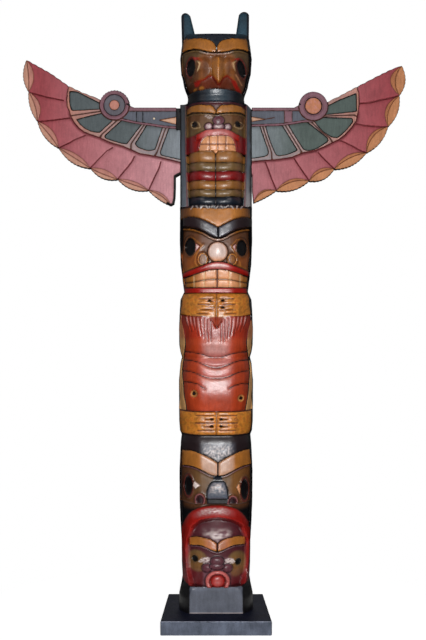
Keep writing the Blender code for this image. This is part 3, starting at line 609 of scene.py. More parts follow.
def watching_face(skin):
    """The third figure's face: V-shaped brows, wide eyes, a round nose and a long toothed mouth."""
    x, z = skin.x, skin.z
    across = abs(x - WATCHING["middle"])
    skin.relief -= 0.14 * np.clip(z - 900, 0, 50)
    skin.glaze({"amber": 0.25, "terracotta": 0.25}, (across - 34, 20), (935 - z, 30))
    carve_brows(skin, WATCHING)
    brow_top = above(across, z, WATCHING["brow_top"])
    skin.relief -= 0.12 * np.clip(brow_top - 6, 0, 60)
    brow = within(-brow_top, above(across, z, WATCHING["brow_bottom"]))
    # painted sheen on the middle of the brows
    skin.wash("slate", 0.4, (brow - 1, 2), (44 - across, 24))
    skin.wash("gold", 0.75, (brow_top, 1))
    skin.wash("brown", 0.9, (brow_top, 1), (across - 40, 36))
    skin.wash("brown", 0.35, (brow_top, 1), (7 - brow_top, 6))
    # a painted highlight on the forehead just above the notch of the brows
    skin.wash("peach", 0.7, (brow_top - 1, 2), (9 - across, 7), (984 - z, 8))
    band = z - curve(across, WATCHING["band"])
    skin.paint(band, "aubergine")
    first, last, count, middle, height = WATCHING["chips"]
    for i, place in enumerate(np.linspace(first, last, count)):
        lean, at = (2.6, -2, 3.4, -3, 0.6)[i % 5], middle + (0, 1.2, -0.8)[i % 3]
        chip = stroke(x, z, [(place - lean, at - height), (place + lean, at + height)])
        skin.cut(chip, 4.8, 1.2)
        skin.wash("wear_and_highlight", 0.6, (1.8 - chip, 1))
    watching_eyes(skin)
    watching_nose(skin)
    watching_mouth(skin)


SEATED = {
    "wrist": 750, "upper_hands": (745, 806), "lower_hands": (464, 522),
    "cuff": [(0, 722), (5, 728), (12, 741), (24, 750.5), (40, 751.5), (60, 752), (88, 756)],
    "upper_fingers": [(793, 8, 40), (779.5, 17, 44), (786, 8, 20), (766.5, 8, 38), (757, 22, 46),
                      (772, 6, 17)],
    "lower_fingers": [(513, 6, 48), (504, 8, 26), (495, 6, 50), (486, 8, 28), (477, 8, 44)],
    "upper_pits": [(-15.5, 788), (16, 789), (16, 772)],
    "lower_pits": [(-10.5, 504), (-10.5, 487), (12.5, 504), (12.5, 487)], "knots": [(48, 504), (47, 487)],
    "trunk_side": [(520, 71), (530, 72), (561, 77.5), (588, 79.5), (615, 82), (646, 79.5), (682, 74.5),
                   (711, 76.5), (742, 84)],
    "folds": [[(0, 651), (15, 653), (32, 659), (50, 663), (90, 665)],
              [(0, 627), (8, 627.5), (22, 631.5), (40, 639), (60, 644), (90, 643)],
              [(0, 601.5), (12, 602), (28, 605.5), (45, 612.5), (62, 617.5), (90, 616)]],
    "hips": [[(-84, 590), (-72, 592), (-59, 592), (-43, 588), (-35, 582), (-27, 577)],
             [(31, 578), (44, 585), (62, 589), (84, 586)]],
    "rings": [(-53, 565, 8.4), (60, 553.5, 8.2)], "hair": (16, 8, 76, 0.86),
}


def carve_hands(skin, low, high, fingers, pits):
    """A pair of hands laid flat, finger tips together, with grooves between the fingers."""
    x, z = skin.x, skin.z
    across = abs(x - 1)
    hand = between(z, low, high)
    skin.relief = dome(hand, 9, 4) - 4.5
    blotches = flecks(x, z, 9, 7)
    skin.wash("gold", 0.8, (blotches - 0.5, 0.3))
    skin.wash("terracotta", 0.3, (0.34 - blotches, 0.2))
    for height, start, end in fingers:
        beyond = np.maximum(abs(across - 0.5 * (start + end)) - 0.5 * (end - start), 0)
        line = np.hypot(z - height, 0.6 * beyond)
        skin.relief += np.exp(-((z - height - 4.5) / 3) ** 2) * (beyond < 1)
        skin.cut(line, 4, 1.6)
        skin.wash("russet", 0.9, (1.8 - line, 0.9))
        # a painted highlight along each finger's ridge
        skin.wash("wear_and_highlight", 0.55, (1.6 - np.hypot(z - height - 4, 0.4 * np.maximum(across - 24, 0)), 1),
                  (across - start, 3))
    for pit in pits:
        inside = oval(x, z, pit[0], pit[1], 4.6, 2.6)
        skin.lay(inside, -8, 3, coat="black")
    skin.cut(across, 5, 2.5)
    skin.wash("russet", 0.8, (1.6 - across, 1))


def carve_trunk(skin):
    """The seated figure's folded trunk between its arms, with painted sheen on its front."""
    x, z = skin.x, skin.z
    side = curve(z, SEATED["trunk_side"])
    inside = side - abs(x)
    skin.lay(inside, -6, 5)
    skin.lay(inside - 6, dome(inside, 60, 5.5) - 6, 12)
    skin.paint(inside, "terracotta")
    skin.relief -= 4 * (np.clip(562 - z, 0, 50) / 40) ** 2
    skin.relief += 2.5 * np.exp(-((z - 566) / 26) ** 2) * soft(inside, 30)
    # painted sheen, pink, down the middle of the trunk
    skin.wash("rose", 0.62, (48 - abs(x), 30), (z - 556, 30), (688 - z, 30))
    skin.wash("russet", 0.3, (48 - abs(x), 30), (z - 694, 12))
    # painted highlights on the bulging folds
    for low, high in ((566, 606), (652, 692)):
        skin.wash("wear_and_highlight", 0.28, (36 - abs(x), 16), (z - low, 14), (high - z, 14))
    skin.wash("cream", 0.45, (-inside, 1))
    skin.paint(1.3 - abs(inside), "aubergine")
    across = abs(x)
    lines = [stroke(x, z, hip) for hip in SEATED["hips"]]
    for fold in SEATED["folds"]:
        line = above(across, z, fold)
        lines.append(abs(line))
        skin.relief -= 1.8 * np.exp(-np.clip(line, 0, None) / 5) * soft(line + 1, 4)
        # a painted highlight along the lip below each fold
        skin.wash("cream", 0.25, (2.5 - np.maximum(abs(line + 5.5), -inside), 4), (44 - across, 10))
    for line in lines:
        line = np.maximum(line, -inside)
        skin.cut(line, 6, 1.6)
        skin.paint(1.1 - line, "aubergine")
    for middle, height, radius in SEATED["rings"]:
        ring = oval(x, z, middle, height, radius, radius)
        skin.lay(ring, -4, 2)
        skin.paint(2.2 - abs(ring - 2), "amber")
        skin.wash("peach", 0.7, (2 - abs(ring - 2), 1.5))
        skin.lay(ring - 3.8, -8, 2)
        skin.paint(ring - 4, "black")


def carve_hair(skin, line):
    """Strokes of hair that hang from under the upper hands and draw together downwards."""
    x, z = skin.x, skin.z
    count, inner, outer, gather = SEATED["hair"]
    skin.wash("red", 0.5, (-line, 2), (z - 694 + 26 * abs(x) / 80 - 0.3 * abs(x), 10))
    for side in (-1, 1):
        for i in range(count):
            share = i / (count - 1)
            top = side * (inner + share * (outer - inner))
            length = 28 + 30 * (1 - share) + 5 * math.sin(5 * i)
            start = (top, SEATED["wrist"] - 9 * (1 - share) ** 2)
            end = (top * gather + side * 1, start[1] - length)
            bow = ((start[0] + end[0]) / 2 + side * 1.2, (start[1] + end[1]) / 2)
            lock = stroke(x, z, [start, bow, end])
            if i % 2:
                skin.cut(lock, 3.2, 0.8)
                skin.wash("aubergine", 0.6, (1.5 - lock, 1))
            else:
                skin.cut(lock, 3.6, -0.3 - 0.7 * share)
                fade = soft(z - start[1] + 0.7 * length, 0.4 * length) * (0.25 + 0.75 * share)
                # pale strands, partly pale paint and partly painted highlight on their ridges
                skin.wash("wear_and_highlight", 0.55, (1.8 - lock, 1.4), (start[1] + 3 - z, 5), fade)


def seated_body(skin):
    """Everything below the third figure's chin: hands, hair, trunk, and hands again."""
    x, z = skin.x, skin.z
    carve_trunk(skin)
    (low, high), wrist = SEATED["upper_hands"], SEATED["wrist"]
    line = z - curve(abs(x - 1.5), SEATED["cuff"])
    carve_hair(skin, line)
    hands = Skin(x, z, skin.paints, "amber")
    carve_hands(hands, low - 26, high, SEATED["upper_fingers"], SEATED["upper_pits"])
    hands.relief -= 0.3 * np.clip(wrist - z, 0, 30)
    hands.paint(wrist - z, "terracotta")
    hands.wash("russet", 0.3, (wrist - z, 2))
    hands.wash("cream", 0.3, (wrist + 4 - z, 3), (abs(x) - 3, 3), (z - wrist + 4, 3))
    skin.paint(within(1.2 - abs(line), z - 747), "aubergine")
    skin.merge(hands, slice(None), line, 3)
    low, high = SEATED["lower_hands"]
    hands = Skin(x, z, skin.paints, "amber")
    carve_hands(hands, low, high, SEATED["lower_fingers"], SEATED["lower_pits"])
    for knot in SEATED["knots"]:
        hands.wash("russet", 0.8, 1.6 - abs(oval(x, z, *knot, 3, 3)))
    skin.merge(hands, slice(None), high - z, 3)
    skin.paint(1.3 - abs(z - high), "russet")


FROWNING = {
    "middle": 4.5, "ground": -10, "forehead": -2.5, "brow": 0, "brow_reach": 88, "rim": (2.6, 4.2),
    "glint": 0.6, "brow_top": [(0, 398), (9, 404.5), (25, 413.5), (42, 421), (64, 427), (90, 424)],
    "brow_bottom": [(0, 367), (7, 368), (19, 371.5), (32, 378), (48, 385.5), (65, 390), (90, 388)],
    "brow_coats": ("aubergine", "gold", "mauve"),
    "eyes": [(-67, 340.5, 10, 23.5, -2), (69.5, 330.5, 9.5, 25, 2)], "lids": (3, 4, 3),
    "corners": [[(-52, 353), (-40, 344), (-50, 336), (-55, 344)],
                [(55, 349), (50, 338), (57, 319), (59, 334)]],
    "rims": [(-69, 340, 17, 31, 0), (72, 330, 16, 32, 0)],
    "nostrils": [(-39, 309, 11, 14), (40, 304, 11, 14)],
    "nose": [(-7, 354), (19, 353), (25, 342), (28, 328), (28, 313), (-21, 313), (-22, 328), (-16, 345)],
    "bridge": [(-8, 370), (-6, 354), (14, 354), (16, 370)],
    "muzzle": [(-22, 318), (29, 318), (28, 295), (-22, 296)],
    "shadow": [(-100, 300), (-78, 300), (-60, 292), (-44, 282), (-44, 240), (-100, 240)],
}


def frowning_nose(skin):
    """A bell-shaped nose between round nostrils, on a dark muzzle."""
    x, z = skin.x, skin.z
    for nostril in FROWNING["nostrils"]:
        inside = oval(x, z, *nostril)
        skin.lay(inside + 2, -4, 4)
        skin.paint(inside + 1.2, "mauve")
        skin.wash("rose", 0.5, 1.8 - abs(inside))
        skin.paint(inside - 1.2, "aubergine")
        skin.lay(inside - 1, -9, 4)
        skin.paint(inside - 2.4, "maroon")
        skin.wash("black", 0.8, (inside - 3, 3))
    muzzle = rounded(x, z, FROWNING["muzzle"], 2)
    skin.lay(muzzle, -6, 4, coat="night")
    skin.wash("black", 0.95, (muzzle, 3))
    skin.paint(rounded(x, z, FROWNING["bridge"], 1), "night")
    nose = rounded(x, z, FROWNING["nose"], 1.6)
    skin.paint(nose + 3.2, "black")
    skin.raise_lobe(nose, -7, 10, 18, coat="slate")
    skin.wash("teal", 0.25, (nose - 2, 6))
    # painted highlight flecks on the nose's upper part
    skin.wash("wear_and_highlight", 0.75, (nose - 1, 5), (z - 320, 20), flecks(x, z, 6, 4))


def frowning_face(skin):
    """The fourth figure: deep V brows, narrow eyes and a bell-shaped nose above the hood."""
    x, z = skin.x, skin.z
    across = abs(x - FROWNING["middle"])
    skin.wash("olive", 0.6, (z - 318, 20), (40 - abs(across - 30), 20))
    skin.wash("gold", 0.35, (x - 30, 14), (z - 310, 20))
    skin.wash("aubergine", 0.8, (300 - z, 10), (across - 34, 14))
    carve_brows(skin, FROWNING)
    brow_top = above(across, z, FROWNING["brow_top"])
    skin.relief -= 3.5 * (np.clip(z - 444, 0, 25) / 18) ** 2
    # painted sheen over the middle of the forehead
    skin.wash("slate", 0.6, (brow_top - 2, 4), (46 - across, 14), (450 - z, 8))
    glints = flecks(x, z, 4, 5) ** 2 * soft(brow_top - 2, 4) * soft(40 - across, 14)
    skin.wash("wear_and_highlight", 0.7, glints, (446 - z, 16))
    # painted sheen on the middle of the brows
    skin.wash("wear_and_highlight", 0.25, (-brow_top, 3), (42 - across, 6),
              (above(across, z, FROWNING["brow_bottom"]), 2))
    for rim in FROWNING["rims"]:
        skin.wash("russet", 0.7, (oval(x, z, *rim), 4))
    for corner, eye in zip(FROWNING["corners"], FROWNING["eyes"]):
        carve_eye(skin, FROWNING, eye)
        lens = within(polygon(x, z, corner), -oval(x, z, *eye) - 0.5)
        skin.paint(lens + 0.6 * (x < 0), "peach")
        skin.wash("wear_and_highlight", 1, (lens + 1, 1.5), x < 0)
        skin.lay(lens, FROWNING["ground"] + 4, 3)
    skin.paint(polygon(x, z, FROWNING["shadow"]), "black")
    skin.paint(polygon(-x + 6, z, FROWNING["shadow"]), "black")
    frowning_nose(skin)


HOODED = {
    "middle": 3, "ground": -13, "forehead": -5, "brow": -4, "brow_reach": 68, "rim": (2.2, 3.6),
    "glint": 0.3, "brow_top": [(0, 203), (4, 207), (14, 213.5), (33, 218), (48, 219.5), (70, 214)],
    "brow_bottom": [(0, 185), (10, 188), (24, 194), (38, 198.5), (70, 196)],
    "brow_coats": ("maroon", "gold", "mauve"), "eyes": [(-51, 164.5, 7.3, 7.6), (53.5, 156.5, 7.3, 7.6)],
    "lids": (2.4, 2, 5), "cheeks": [(-46, 160, 28, 29, 0), (50, 152, 28, 34, 0)],
    "eye_glints": [(-27, 163, 17, 9, 14), (32, 160, 18, 8.5, -4)],
    "nose": [(-23, 145, 11.5, 10.5), (28, 144.5, 12, 10.5), (2, 150, 17, 9), (3, 162, 16.5, 11)],
    "hood_half": [(99, 82), (111, 84), (167, 88), (203, 90), (226, 88), (248, 80), (269, 69)],
    "hood_top": [(-88, 224), (-79, 248), (-68, 269), (-49, 286), (-27, 294), (1, 297), (29, 294),
                 (53, 284), (70, 265), (90, 226)],
    "face_half": [(99, 60), (117, 65), (147, 70), (175, 71), (202, 70), (219, 66), (238, 59)],
    "face_top": [(-66, 224), (-57, 238), (-40, 255), (-18, 262), (1, 264.5), (23, 262), (45, 254),
                 (62, 239), (70, 224)],
    "brow_slope": 0.16, "arch_springs": 238, "jaw": 140, "jaw_slope": 0.22, "mouth": (4, 112, 30, 27.5),
    "lip_width": 8.8,
}


def arched(x, z, middle, half, top):
    """A shape with upright sides and an arched top."""
    sides = curve(z, half) - abs(x - middle)
    return np.where(z > HOODED["arch_springs"], -above(x, z, top), sides)


def hooded_brows(skin):
    """The small face's cheeks, forehead, brows and eyes, with painted sheen on the forehead and brows and
    painted glints beside the eyes.
    """
    x, z = skin.x, skin.z
    across = abs(x - HOODED["middle"])
    for cheek in HOODED["cheeks"]:
        skin.wash("olive", 0.95, (oval(x, z, *cheek), 5))
        skin.wash("gold", 0.3, (oval(x, z, *cheek) - 4, 12))
    skin.wash("red", 0.2, (150 - z, 20))
    skin.wash("mauve", 0.85, (within(z - 92, 172 - z, 36 - abs(x - 2)), 6))
    carve_brows(skin, HOODED)
    brow_top = above(across, z, HOODED["brow_top"])
    skin.relief -= HOODED["brow_slope"] * np.clip(z - 190, 0, 90)
    skin.relief -= 0.36 * np.clip(z - 228, 0, 50)
    middle = soft(36 - across, 14)
    # painted sheen and highlight flecks on the middle of the forehead, and painted sheen on the brows' middle
    skin.wash("mauve", 0.6, (brow_top - 1, 4), middle, (246 - z, 20))
    skin.wash("wear_and_highlight", 0.75, (brow_top - 2, 6), (38 - across, 16), (242 - z, 14), flecks(x, z, 13, 6))
    skin.wash("rose", 0.3, (-brow_top, 2), (z - 190, 3), middle)
    for eye, white in zip(HOODED["eyes"], HOODED["eye_glints"]):
        carve_eye(skin, HOODED, eye, "olive")
        patch = almond(x, z, *white)
        streaks = soft(flecks(x + 0.6 * z, z, 5, 2.5) - 0.2, 0.4)
        # painted glints beside the eyes
        skin.wash("wear_and_highlight", 1, (within(patch, -oval(x, z, *eye)), 1.5), streaks)


def hooded_mouth(skin):
    """The receding jaw, the nose, and the round open mouth."""
    x, z = skin.x, skin.z
    below = HOODED["jaw"] - z
    skin.lay(below, HOODED["ground"] - HOODED["jaw_slope"] * below, 10)
    for lobe in HOODED["nose"]:
        inside = oval(x, z, *lobe)
        skin.raise_lobe(inside, -12, 7, 9)
        skin.paint(1 + np.minimum(inside, 0), "aubergine")
        skin.paint(inside, "mauve")
        skin.wash("maroon", 0.75, (inside, 2))
    mouth = oval(x, z, *HOODED["mouth"])
    skin.lay(mouth, dome(mouth, 4, 4.5) - 11, coat="rose")
    skin.wash("red", 0.3, (mouth, 1.5))
    hole = mouth - HOODED["lip_width"]
    skin.lay(hole, dome(hole - 4, 12, 6) - 17, coat="red")
    skin.wash("rose", 0.3, (hole - 4, 6))


def hooded_face(skin):
    """The lowest figure: a small face with a round open mouth, looking out of a hood."""
    x, z = skin.x, skin.z
    skin.wash("brown", 0.8, (z - 282, 12), (86 - abs(x), 10))
    hood = arched(x, z, 1, HOODED["hood_half"], HOODED["hood_top"])
    skin.lay(hood, dome(hood, 15, 9) - 9.5, coat="red")
    skin.wash("maroon", 0.55, (hood, 2), (200 - z, 60))
    # painted sheen and highlight flecks along the top of the hood
    crest = soft(hood - 3, 5) * soft(22 - hood, 8) * soft(z - 260, 12)
    skin.glaze({"rose": 0.5, "mauve": 0.35}, crest, (56 - abs(x + 6), 30))
    skin.wash("wear_and_highlight", 0.7, crest, (42 - abs(x + 6), 24), flecks(x, z, 6, 3))
    features = Skin(x, z, skin.paints, "maroon", HOODED["ground"])
    hooded_brows(features)
    hooded_mouth(features)
    face = arched(x, z, HOODED["middle"], HOODED["face_half"], HOODED["face_top"])
    skin.merge(features, slice(None), face, 12)
    skin.wash("red", 0.75, (7 - abs(face), 9))


FOOT_TOP = 99                # the plain foot of the log, under the lowest figure
FIGURES = [                  # lowest and highest point, carver, and the paint and level of its ground
    (FOOT_TOP, 300, hooded_face, "black", -10), (300, 466, frowning_face, "brown", -10),
    (466, 806, seated_body, "amber", -3), (806, 1018, watching_face, "brown", -9),
    (1018, 1262, winged_figure, "olive", -6), (1262, 1480, eagle_head, "brown", -9),
]


# ---------------------------------------------------------------- the log

LOG_BOTTOM, HEAD_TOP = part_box("base_board")[1].z / MM + 0.3, 1427
FOOT_FLAT = 63               # distance from the axis to the foot's flat front
CROWN_SLOPE = 0.2            # how steeply the crown rises towards the back
BACK_DEPTH = 0.82            # the back is cut a little flatter than a circle
SILHOUETTE = [               # height, radius of the uncarved log, from the foot up
    (34.3, 91.3), (71, 90.6), (98, 84.7), (113, 82.4), (150, 84.2), (199, 84.7), (249, 87.6),
    (298, 89.6), (372, 90.1), (422, 87.9), (446, 86.4), (461, 84.7), (471, 88.8), (496, 90.8),
    (594, 91.3), (636, 87.6), (651, 83.9), (663, 87.6), (681, 90.6), (718, 91.3), (767, 89.3),
    (792, 87.4), (802, 82.7), (811, 78.5), (829, 81), (853, 83.9), (878, 87.1), (940, 89.3),
    (1000, 88.8), (1268, 88.6), (1272, 71), (1285, 69.1), (1294, 71), (1305, 75.3), (1315, 78.5),
    (1335, 82.2), (1347, 85.9), (1384, 88.4), (1409, 85.1), (1424, 82), (1427, 80),
]
POST_BOTTOM, POST_TOP = 1019, 1268
POST_HALF_WIDTH, POST_FRONT, POST_CORNER = 88, 20, 3
POST_FALL = 3                # how far a post's outer edge stands back from its inner one
POST_INNER = 74
POST_SWELL = 1.03            # the log is a touch fuller behind the posts
BODY_HALF_WIDTH, BODY_DEPTH = 74, 87
BODY_TAPER = [(1019, 67.5), (1040, 69), (1100, 71.5), (1150, 73.5), (1268, 74)]  # height, half-width
FACET_HALF_WIDTH, FACET_CORNER = 40, 1.5
FACET_ROUNDNESS = [          # height, how much of the log's roundness its planed front keeps
    (99, 0.75), (285, 0.75), (300, 0.12), (1010, 0.12), (1022, 0.25), (1140, 0.25), (1160, 0.5),
    (1262, 0.5), (1290, 0.8),
]
LEDGES = (FOOT_TOP, POST_BOTTOM, POST_TOP + 2)
LEDGE_PAIR = 0.3             # how far above and below a ledge its two rings of points lie
ROW_PITCH = [                # from each height up, the distance between rings of points
    (0, 4), (96, 1.9), (300, 2), (466, 1.9), (528, 2.9), (690, 1.9), (1020, 2.2), (1140, 1.9),
    (1258, 2.4), (1292, 2), (1500, 2),
]
FRONT_COLUMNS, BACK_COLUMNS = 59, 9      # on each side of the middle
FRONT_CROWDING = 0.86        # how much closer the columns stand in the middle of the front
BLACK_EDGE = {"log": (3, 6), "head": (4, 8)}   # how far the black comes round: left, right
CARVED_FACING = (0.10, 0.34)   # how squarely wood faces front where carving begins, and where it is full
POST_SLOPE = 14              # how far the posts' outer corners slope in at the top


def ring_heights():
    """The heights of the log's rings of points, with a close pair at each ledge."""
    heights, z = [], LOG_BOTTOM
    while z < HEAD_TOP - 1:
        heights.append(z)
        z += [pitch for low, pitch in ROW_PITCH if low <= z][-1]
    heights = [z for z in heights if min(abs(z - ledge) for ledge in LEDGES) > 1.1]
    heights += [ledge + d for ledge in LEDGES for d in (-LEDGE_PAIR, LEDGE_PAIR)] + [HEAD_TOP]
    return np.array(sorted(heights))


def planed(depth, flat, roundness):
    """The log's front planed flat: how deep it is there, and the share of its slope that is left."""
    beyond = np.clip((depth - flat) / FACET_CORNER, -30, 30)
    cut = FACET_CORNER * np.log1p(np.exp(beyond))
    return depth - (1 - roundness) * cut, 1 - (1 - roundness) / (1 + np.exp(-beyond))


def posted_section():
    """Half the log's section at the side posts: points from the middle of the front to the side."""
    angle = np.linspace(0, math.acos(POST_FRONT / BODY_DEPTH), 60)
    x, y = list(BODY_HALF_WIDTH * np.sin(angle)), list(-BODY_DEPTH * np.cos(angle))
    corner = np.linspace(0, math.pi / 2, 6)
    x += list(POST_HALF_WIDTH - POST_CORNER * (1 - np.sin(corner))) + [POST_HALF_WIDTH]
    y += list(-POST_FRONT + POST_FALL + POST_CORNER * (1 - np.cos(corner))) + [0]
    return np.array(x), np.array(y), len(angle)


def log_section(share, z):
    """Where the log's uncarved skin lies, and how squarely it faces front.

    share runs from 0 at the middle of the front to 1 at the side and 2 at the middle of the back.
    """
    radius = np.interp(z, *np.array(SILHOUETTE).T)
    roundness = np.interp(z, *np.array(FACET_ROUNDNESS).T)
    spread = FRONT_CROWDING * share + (1 - FRONT_CROWDING) * share ** 3
    front = share < 1
    angle = np.where(front, spread, share) * math.pi / 2
    x, y = radius * np.sin(angle), -radius * np.cos(angle)
    depth, left = planed(-y, np.sqrt(radius ** 2 - FACET_HALF_WIDTH ** 2), roundness)
    facing = np.where(front, 1 / np.hypot(1, left * np.tan(np.where(front, angle, 0))), np.cos(angle))
    back = BACK_DEPTH * y
    px, py, body = posted_section()
    length = np.concatenate([[0], np.cumsum(np.hypot(np.diff(px), np.diff(py)))])
    along = spread * length[-1]
    posted = between(z, POST_BOTTOM, POST_TOP + 2) > 0
    sx = np.where(front, np.interp(along, length, px), np.minimum(POST_HALF_WIDTH, POST_SWELL * x))
    sy = np.where(front, np.interp(along, length, py), POST_SWELL * back)
    slope = sx / BODY_HALF_WIDTH ** 2 / np.maximum(-sy / BODY_DEPTH ** 2, 1e-6)
    flat = BODY_DEPTH * math.sqrt(1 - (FACET_HALF_WIDTH / BODY_HALF_WIDTH) ** 2)
    body_depth, body_left = planed(-sy, flat, roundness)
    on_body = front & (along < length[body - 1])
    square = 1 / np.hypot(1, body_left * slope)
    sy = np.where(on_body, -body_depth, sy)
    taper = np.interp(z, *np.array(BODY_TAPER).T)
    edge = POST_HALF_WIDTH - POST_CORNER
    ledge = taper + (sx - BODY_HALF_WIDTH) * (edge - taper) / (edge - BODY_HALF_WIDTH)
    narrowed = np.where(on_body, sx * taper / BODY_HALF_WIDTH, np.where(sx < edge, ledge, sx))
    sx = np.where(front, narrowed, sx)
    x = np.where(posted, sx, x)
    y = np.where(posted, sy, np.where(front, -depth, back))
    facing = np.where(posted, np.where(on_body, square, 0), facing)
    return x, y, facing


def carve_front(x, z):
    """The whole front's carving and paint."""
    whole = Skin(x, z, POLE_PAINTS, "night")
    for low, high, figure, paint, level in FIGURES:
        inside = between(z, low, high)
        near = np.flatnonzero(inside > -4)
        part = Skin(x[near], z[near], POLE_PAINTS, paint, level)
        figure(part)
        whole.merge(part, near, inside[near])
    return whole


def roughness_of_hand(points, size, height):
    """Small unevenness left by the gouge: a value for each point, in millimetres."""
    scale = 1 / size
    return height * np.array([noise.noise(Vector(p) * scale) for p in points])


def deselect_all():
    """Leave nothing selected, such as the frame's own nodes."""
    for thing in bpy.context.selected_objects:
        thing.select_set(False)


def points_of(thing):
    """A mesh's points in millimetres."""
    flat = np.empty(3 * len(thing.data.vertices), np.float32)
    thing.data.vertices.foreach_get("co", flat)
    return flat.reshape(-1, 3).astype(float) / MM


def move_points(thing, points):
    """Give a mesh's points new places, in millimetres."""
    thing.data.vertices.foreach_set("co", (points * MM).astype(np.float32).ravel())
    thing.data.update()


def begin(add, name, **settings):
    """Add a primitive with nothing else selected, and name it."""
    deselect_all()
    add(**settings)
    thing = bpy.context.object
    thing.name = thing.data.name = name
    return thing


def select_only(thing):
    """Make one thing the only one selected, and the active one."""
    deselect_all()
    thing.select_set(True)
    bpy.context.view_layer.objects.active = thing


@contextmanager
def editing(thing, kind="VERT", chosen=None):
    """Edit a mesh, with all of it selected or only the chosen points."""
    select_only(thing)
    bpy.ops.object.mode_set(mode="EDIT")
    bpy.ops.mesh.select_mode(type=kind)
    bpy.ops.mesh.select_all(action="SELECT" if chosen is None else "DESELECT")
    if chosen is not None:
        bpy.ops.object.mode_set(mode="OBJECT")
        thing.data.vertices.foreach_set("select", chosen)
        bpy.ops.object.mode_set(mode="EDIT")
    yield
    bpy.ops.object.mode_set(mode="OBJECT")


def apply_boolean(thing, tool, operation):
    """Join a tool to a piece or cut it away, and remove the tool."""
    select_only(thing)
    modifier = thing.modifiers.new("cut", "BOOLEAN")
    modifier.operation, modifier.object, modifier.solver = operation, tool, "EXACT"
    bpy.ops.object.modifier_apply(modifier=modifier.name)
    bpy.data.objects.remove(tool, do_unlink=True)


def add_block(name, low, high, bevel=0):
    """A box between two corners, its edges rounded where a bevel is given."""
    low, high = np.array(low), np.array(high)
    block = begin(bpy.ops.mesh.primitive_cube_add, name, size=1)
    move_points(block, low + (points_of(block) * MM + 0.5) * (high - low))
    if bevel:
        with editing(block, "EDGE"):
            bpy.ops.mesh.bevel(offset=bevel * MM, segments=3, affect="EDGES")
    return block


EARS = {                     # outer and inner x at the root and at the tip, and the tip's height
    "left": (-83, -40, -86, -65, 1497),
    "right": (80.5, 42, 81.5, 57, 1500),
}
EAR_ROOT = 1396
EAR_DEPTHS = (-32, 20, -22, 8)           # front and back at the root and at the tip
EAR_ROUNDING = 11                        # height of the rounded tip


def ear_section(side, z):
    """An ear's middle and half-width at some heights, across and from front to back."""
    *across, tip = EARS[side]
    faces = np.array([across, EAR_DEPTHS])
    share = np.clip((z - EAR_ROOT) / (tip - EAR_ROOT), 0, 1)[:, None]
    one, other = (faces[:, i] + (faces[:, i + 2] - faces[:, i]) * share for i in (0, 1))
    return 0.5 * (one + other), 0.5 * abs(one - other)


def add_ear(side):
    """A tapered horn with a rounded tip, its root sunk in the head."""
    tip = EARS[side][-1]
    ear = begin(bpy.ops.mesh.primitive_cube_add, f"ear_{side}", size=2)
    points = points_of(ear) * MM
    points[:, 2] = np.where(points[:, 2] < 0, EAR_ROOT, tip)
    middle, half = ear_section(side, points[:, 2])
    points[:, :2] = middle + points[:, :2] * half
    move_points(ear, points)
    with editing(ear, "EDGE"):
        bpy.ops.mesh.subdivide(number_cuts=5)
    soften = ear.modifiers.new("soften", "SUBSURF")
    soften.levels = soften.render_levels = 1
    bpy.ops.object.modifier_apply(modifier=soften.name)
    points = points_of(ear)
    middle, half = ear_section(side, points[:, 2])
    unit = np.clip((points[:, :2] - middle) / half, -1, 1)
    rise = np.clip((points[:, 2] - tip) / EAR_ROUNDING + 1, 0, 1)
    box = np.maximum(abs(unit).max(1), 1e-6)
    square = (abs(unit) ** 4).sum(1) ** 0.25
    shrink = box / np.maximum(square, 1e-6) * np.sqrt(np.clip(1 - 0.75 * rise ** 2, 0, 1))
    points[:, :2] = middle + unit * half * shrink[:, None]
    points[:, 2] = np.minimum(points[:, 2], tip) - 2.5 * rise * box ** 2
    move_points(ear, points)
    return ear


def crown_rise(y, z):
    """How much higher the head's flat top stands towards the back."""
    return CROWN_SLOPE * np.clip(y + BODY_DEPTH, 0, 50) * np.clip((z - HEAD_TOP) / 22 + 1, 0, 1)


def roll_log():
    """A fine grid rolled into the log, carved on its front, with both ends closed."""
    heights = ring_heights()
    columns, rows = 2 * (FRONT_COLUMNS + BACK_COLUMNS), len(heights) - 1
    pole = begin(bpy.ops.mesh.primitive_grid_add, "totem_log", x_subdivisions=columns,
                 y_subdivisions=rows, size=1)
    grid = points_of(pole) * MM
    row = np.rint((grid[:, 1] + 0.5) * rows).astype(int)
    place = np.rint(grid[:, 0] * columns)
    front, back = abs(place) / FRONT_COLUMNS, (abs(place) - FRONT_COLUMNS) / BACK_COLUMNS
    share = np.where(front <= 1, front, 1 + back)
    z = heights[row]
    x, y, facing = log_section(share, z)
    x = x * np.sign(place)
    least, full = CARVED_FACING
    y = y - soft(facing - least, full - least) * carve_front(x, z).relief / np.maximum(facing, full)
    corner = POST_HALF_WIDTH - np.clip(z - POST_TOP + 10, 0, POST_SLOPE)
    x = np.where(between(z, POST_BOTTOM, POST_TOP + 2) > 0, np.minimum(x, corner), x)
    y = np.where(z < FOOT_TOP, np.maximum(y, -FOOT_FLAT), y)
    points = np.stack([x, y, z], 1)
    uneven = roughness_of_hand(points, 11, 0.3) * np.where(z < FOOT_TOP, 0.4, 1)
    points[:, :2] *= (1 + uneven / np.maximum(np.hypot(x, y), 30))[:, None]
    points[:, 2] += crown_rise(y, z)
    move_points(pole, points)
    with editing(pole):
        bpy.ops.mesh.remove_doubles(threshold=0.00001)
        bpy.ops.mesh.select_all(action="DESELECT")
        bpy.ops.mesh.select_non_manifold(extend=False)
        bpy.ops.mesh.fill_holes(sides=0)
        bpy.ops.mesh.select_all(action="SELECT")
        bpy.ops.mesh.normals_make_consistent(inside=False)
    return pole


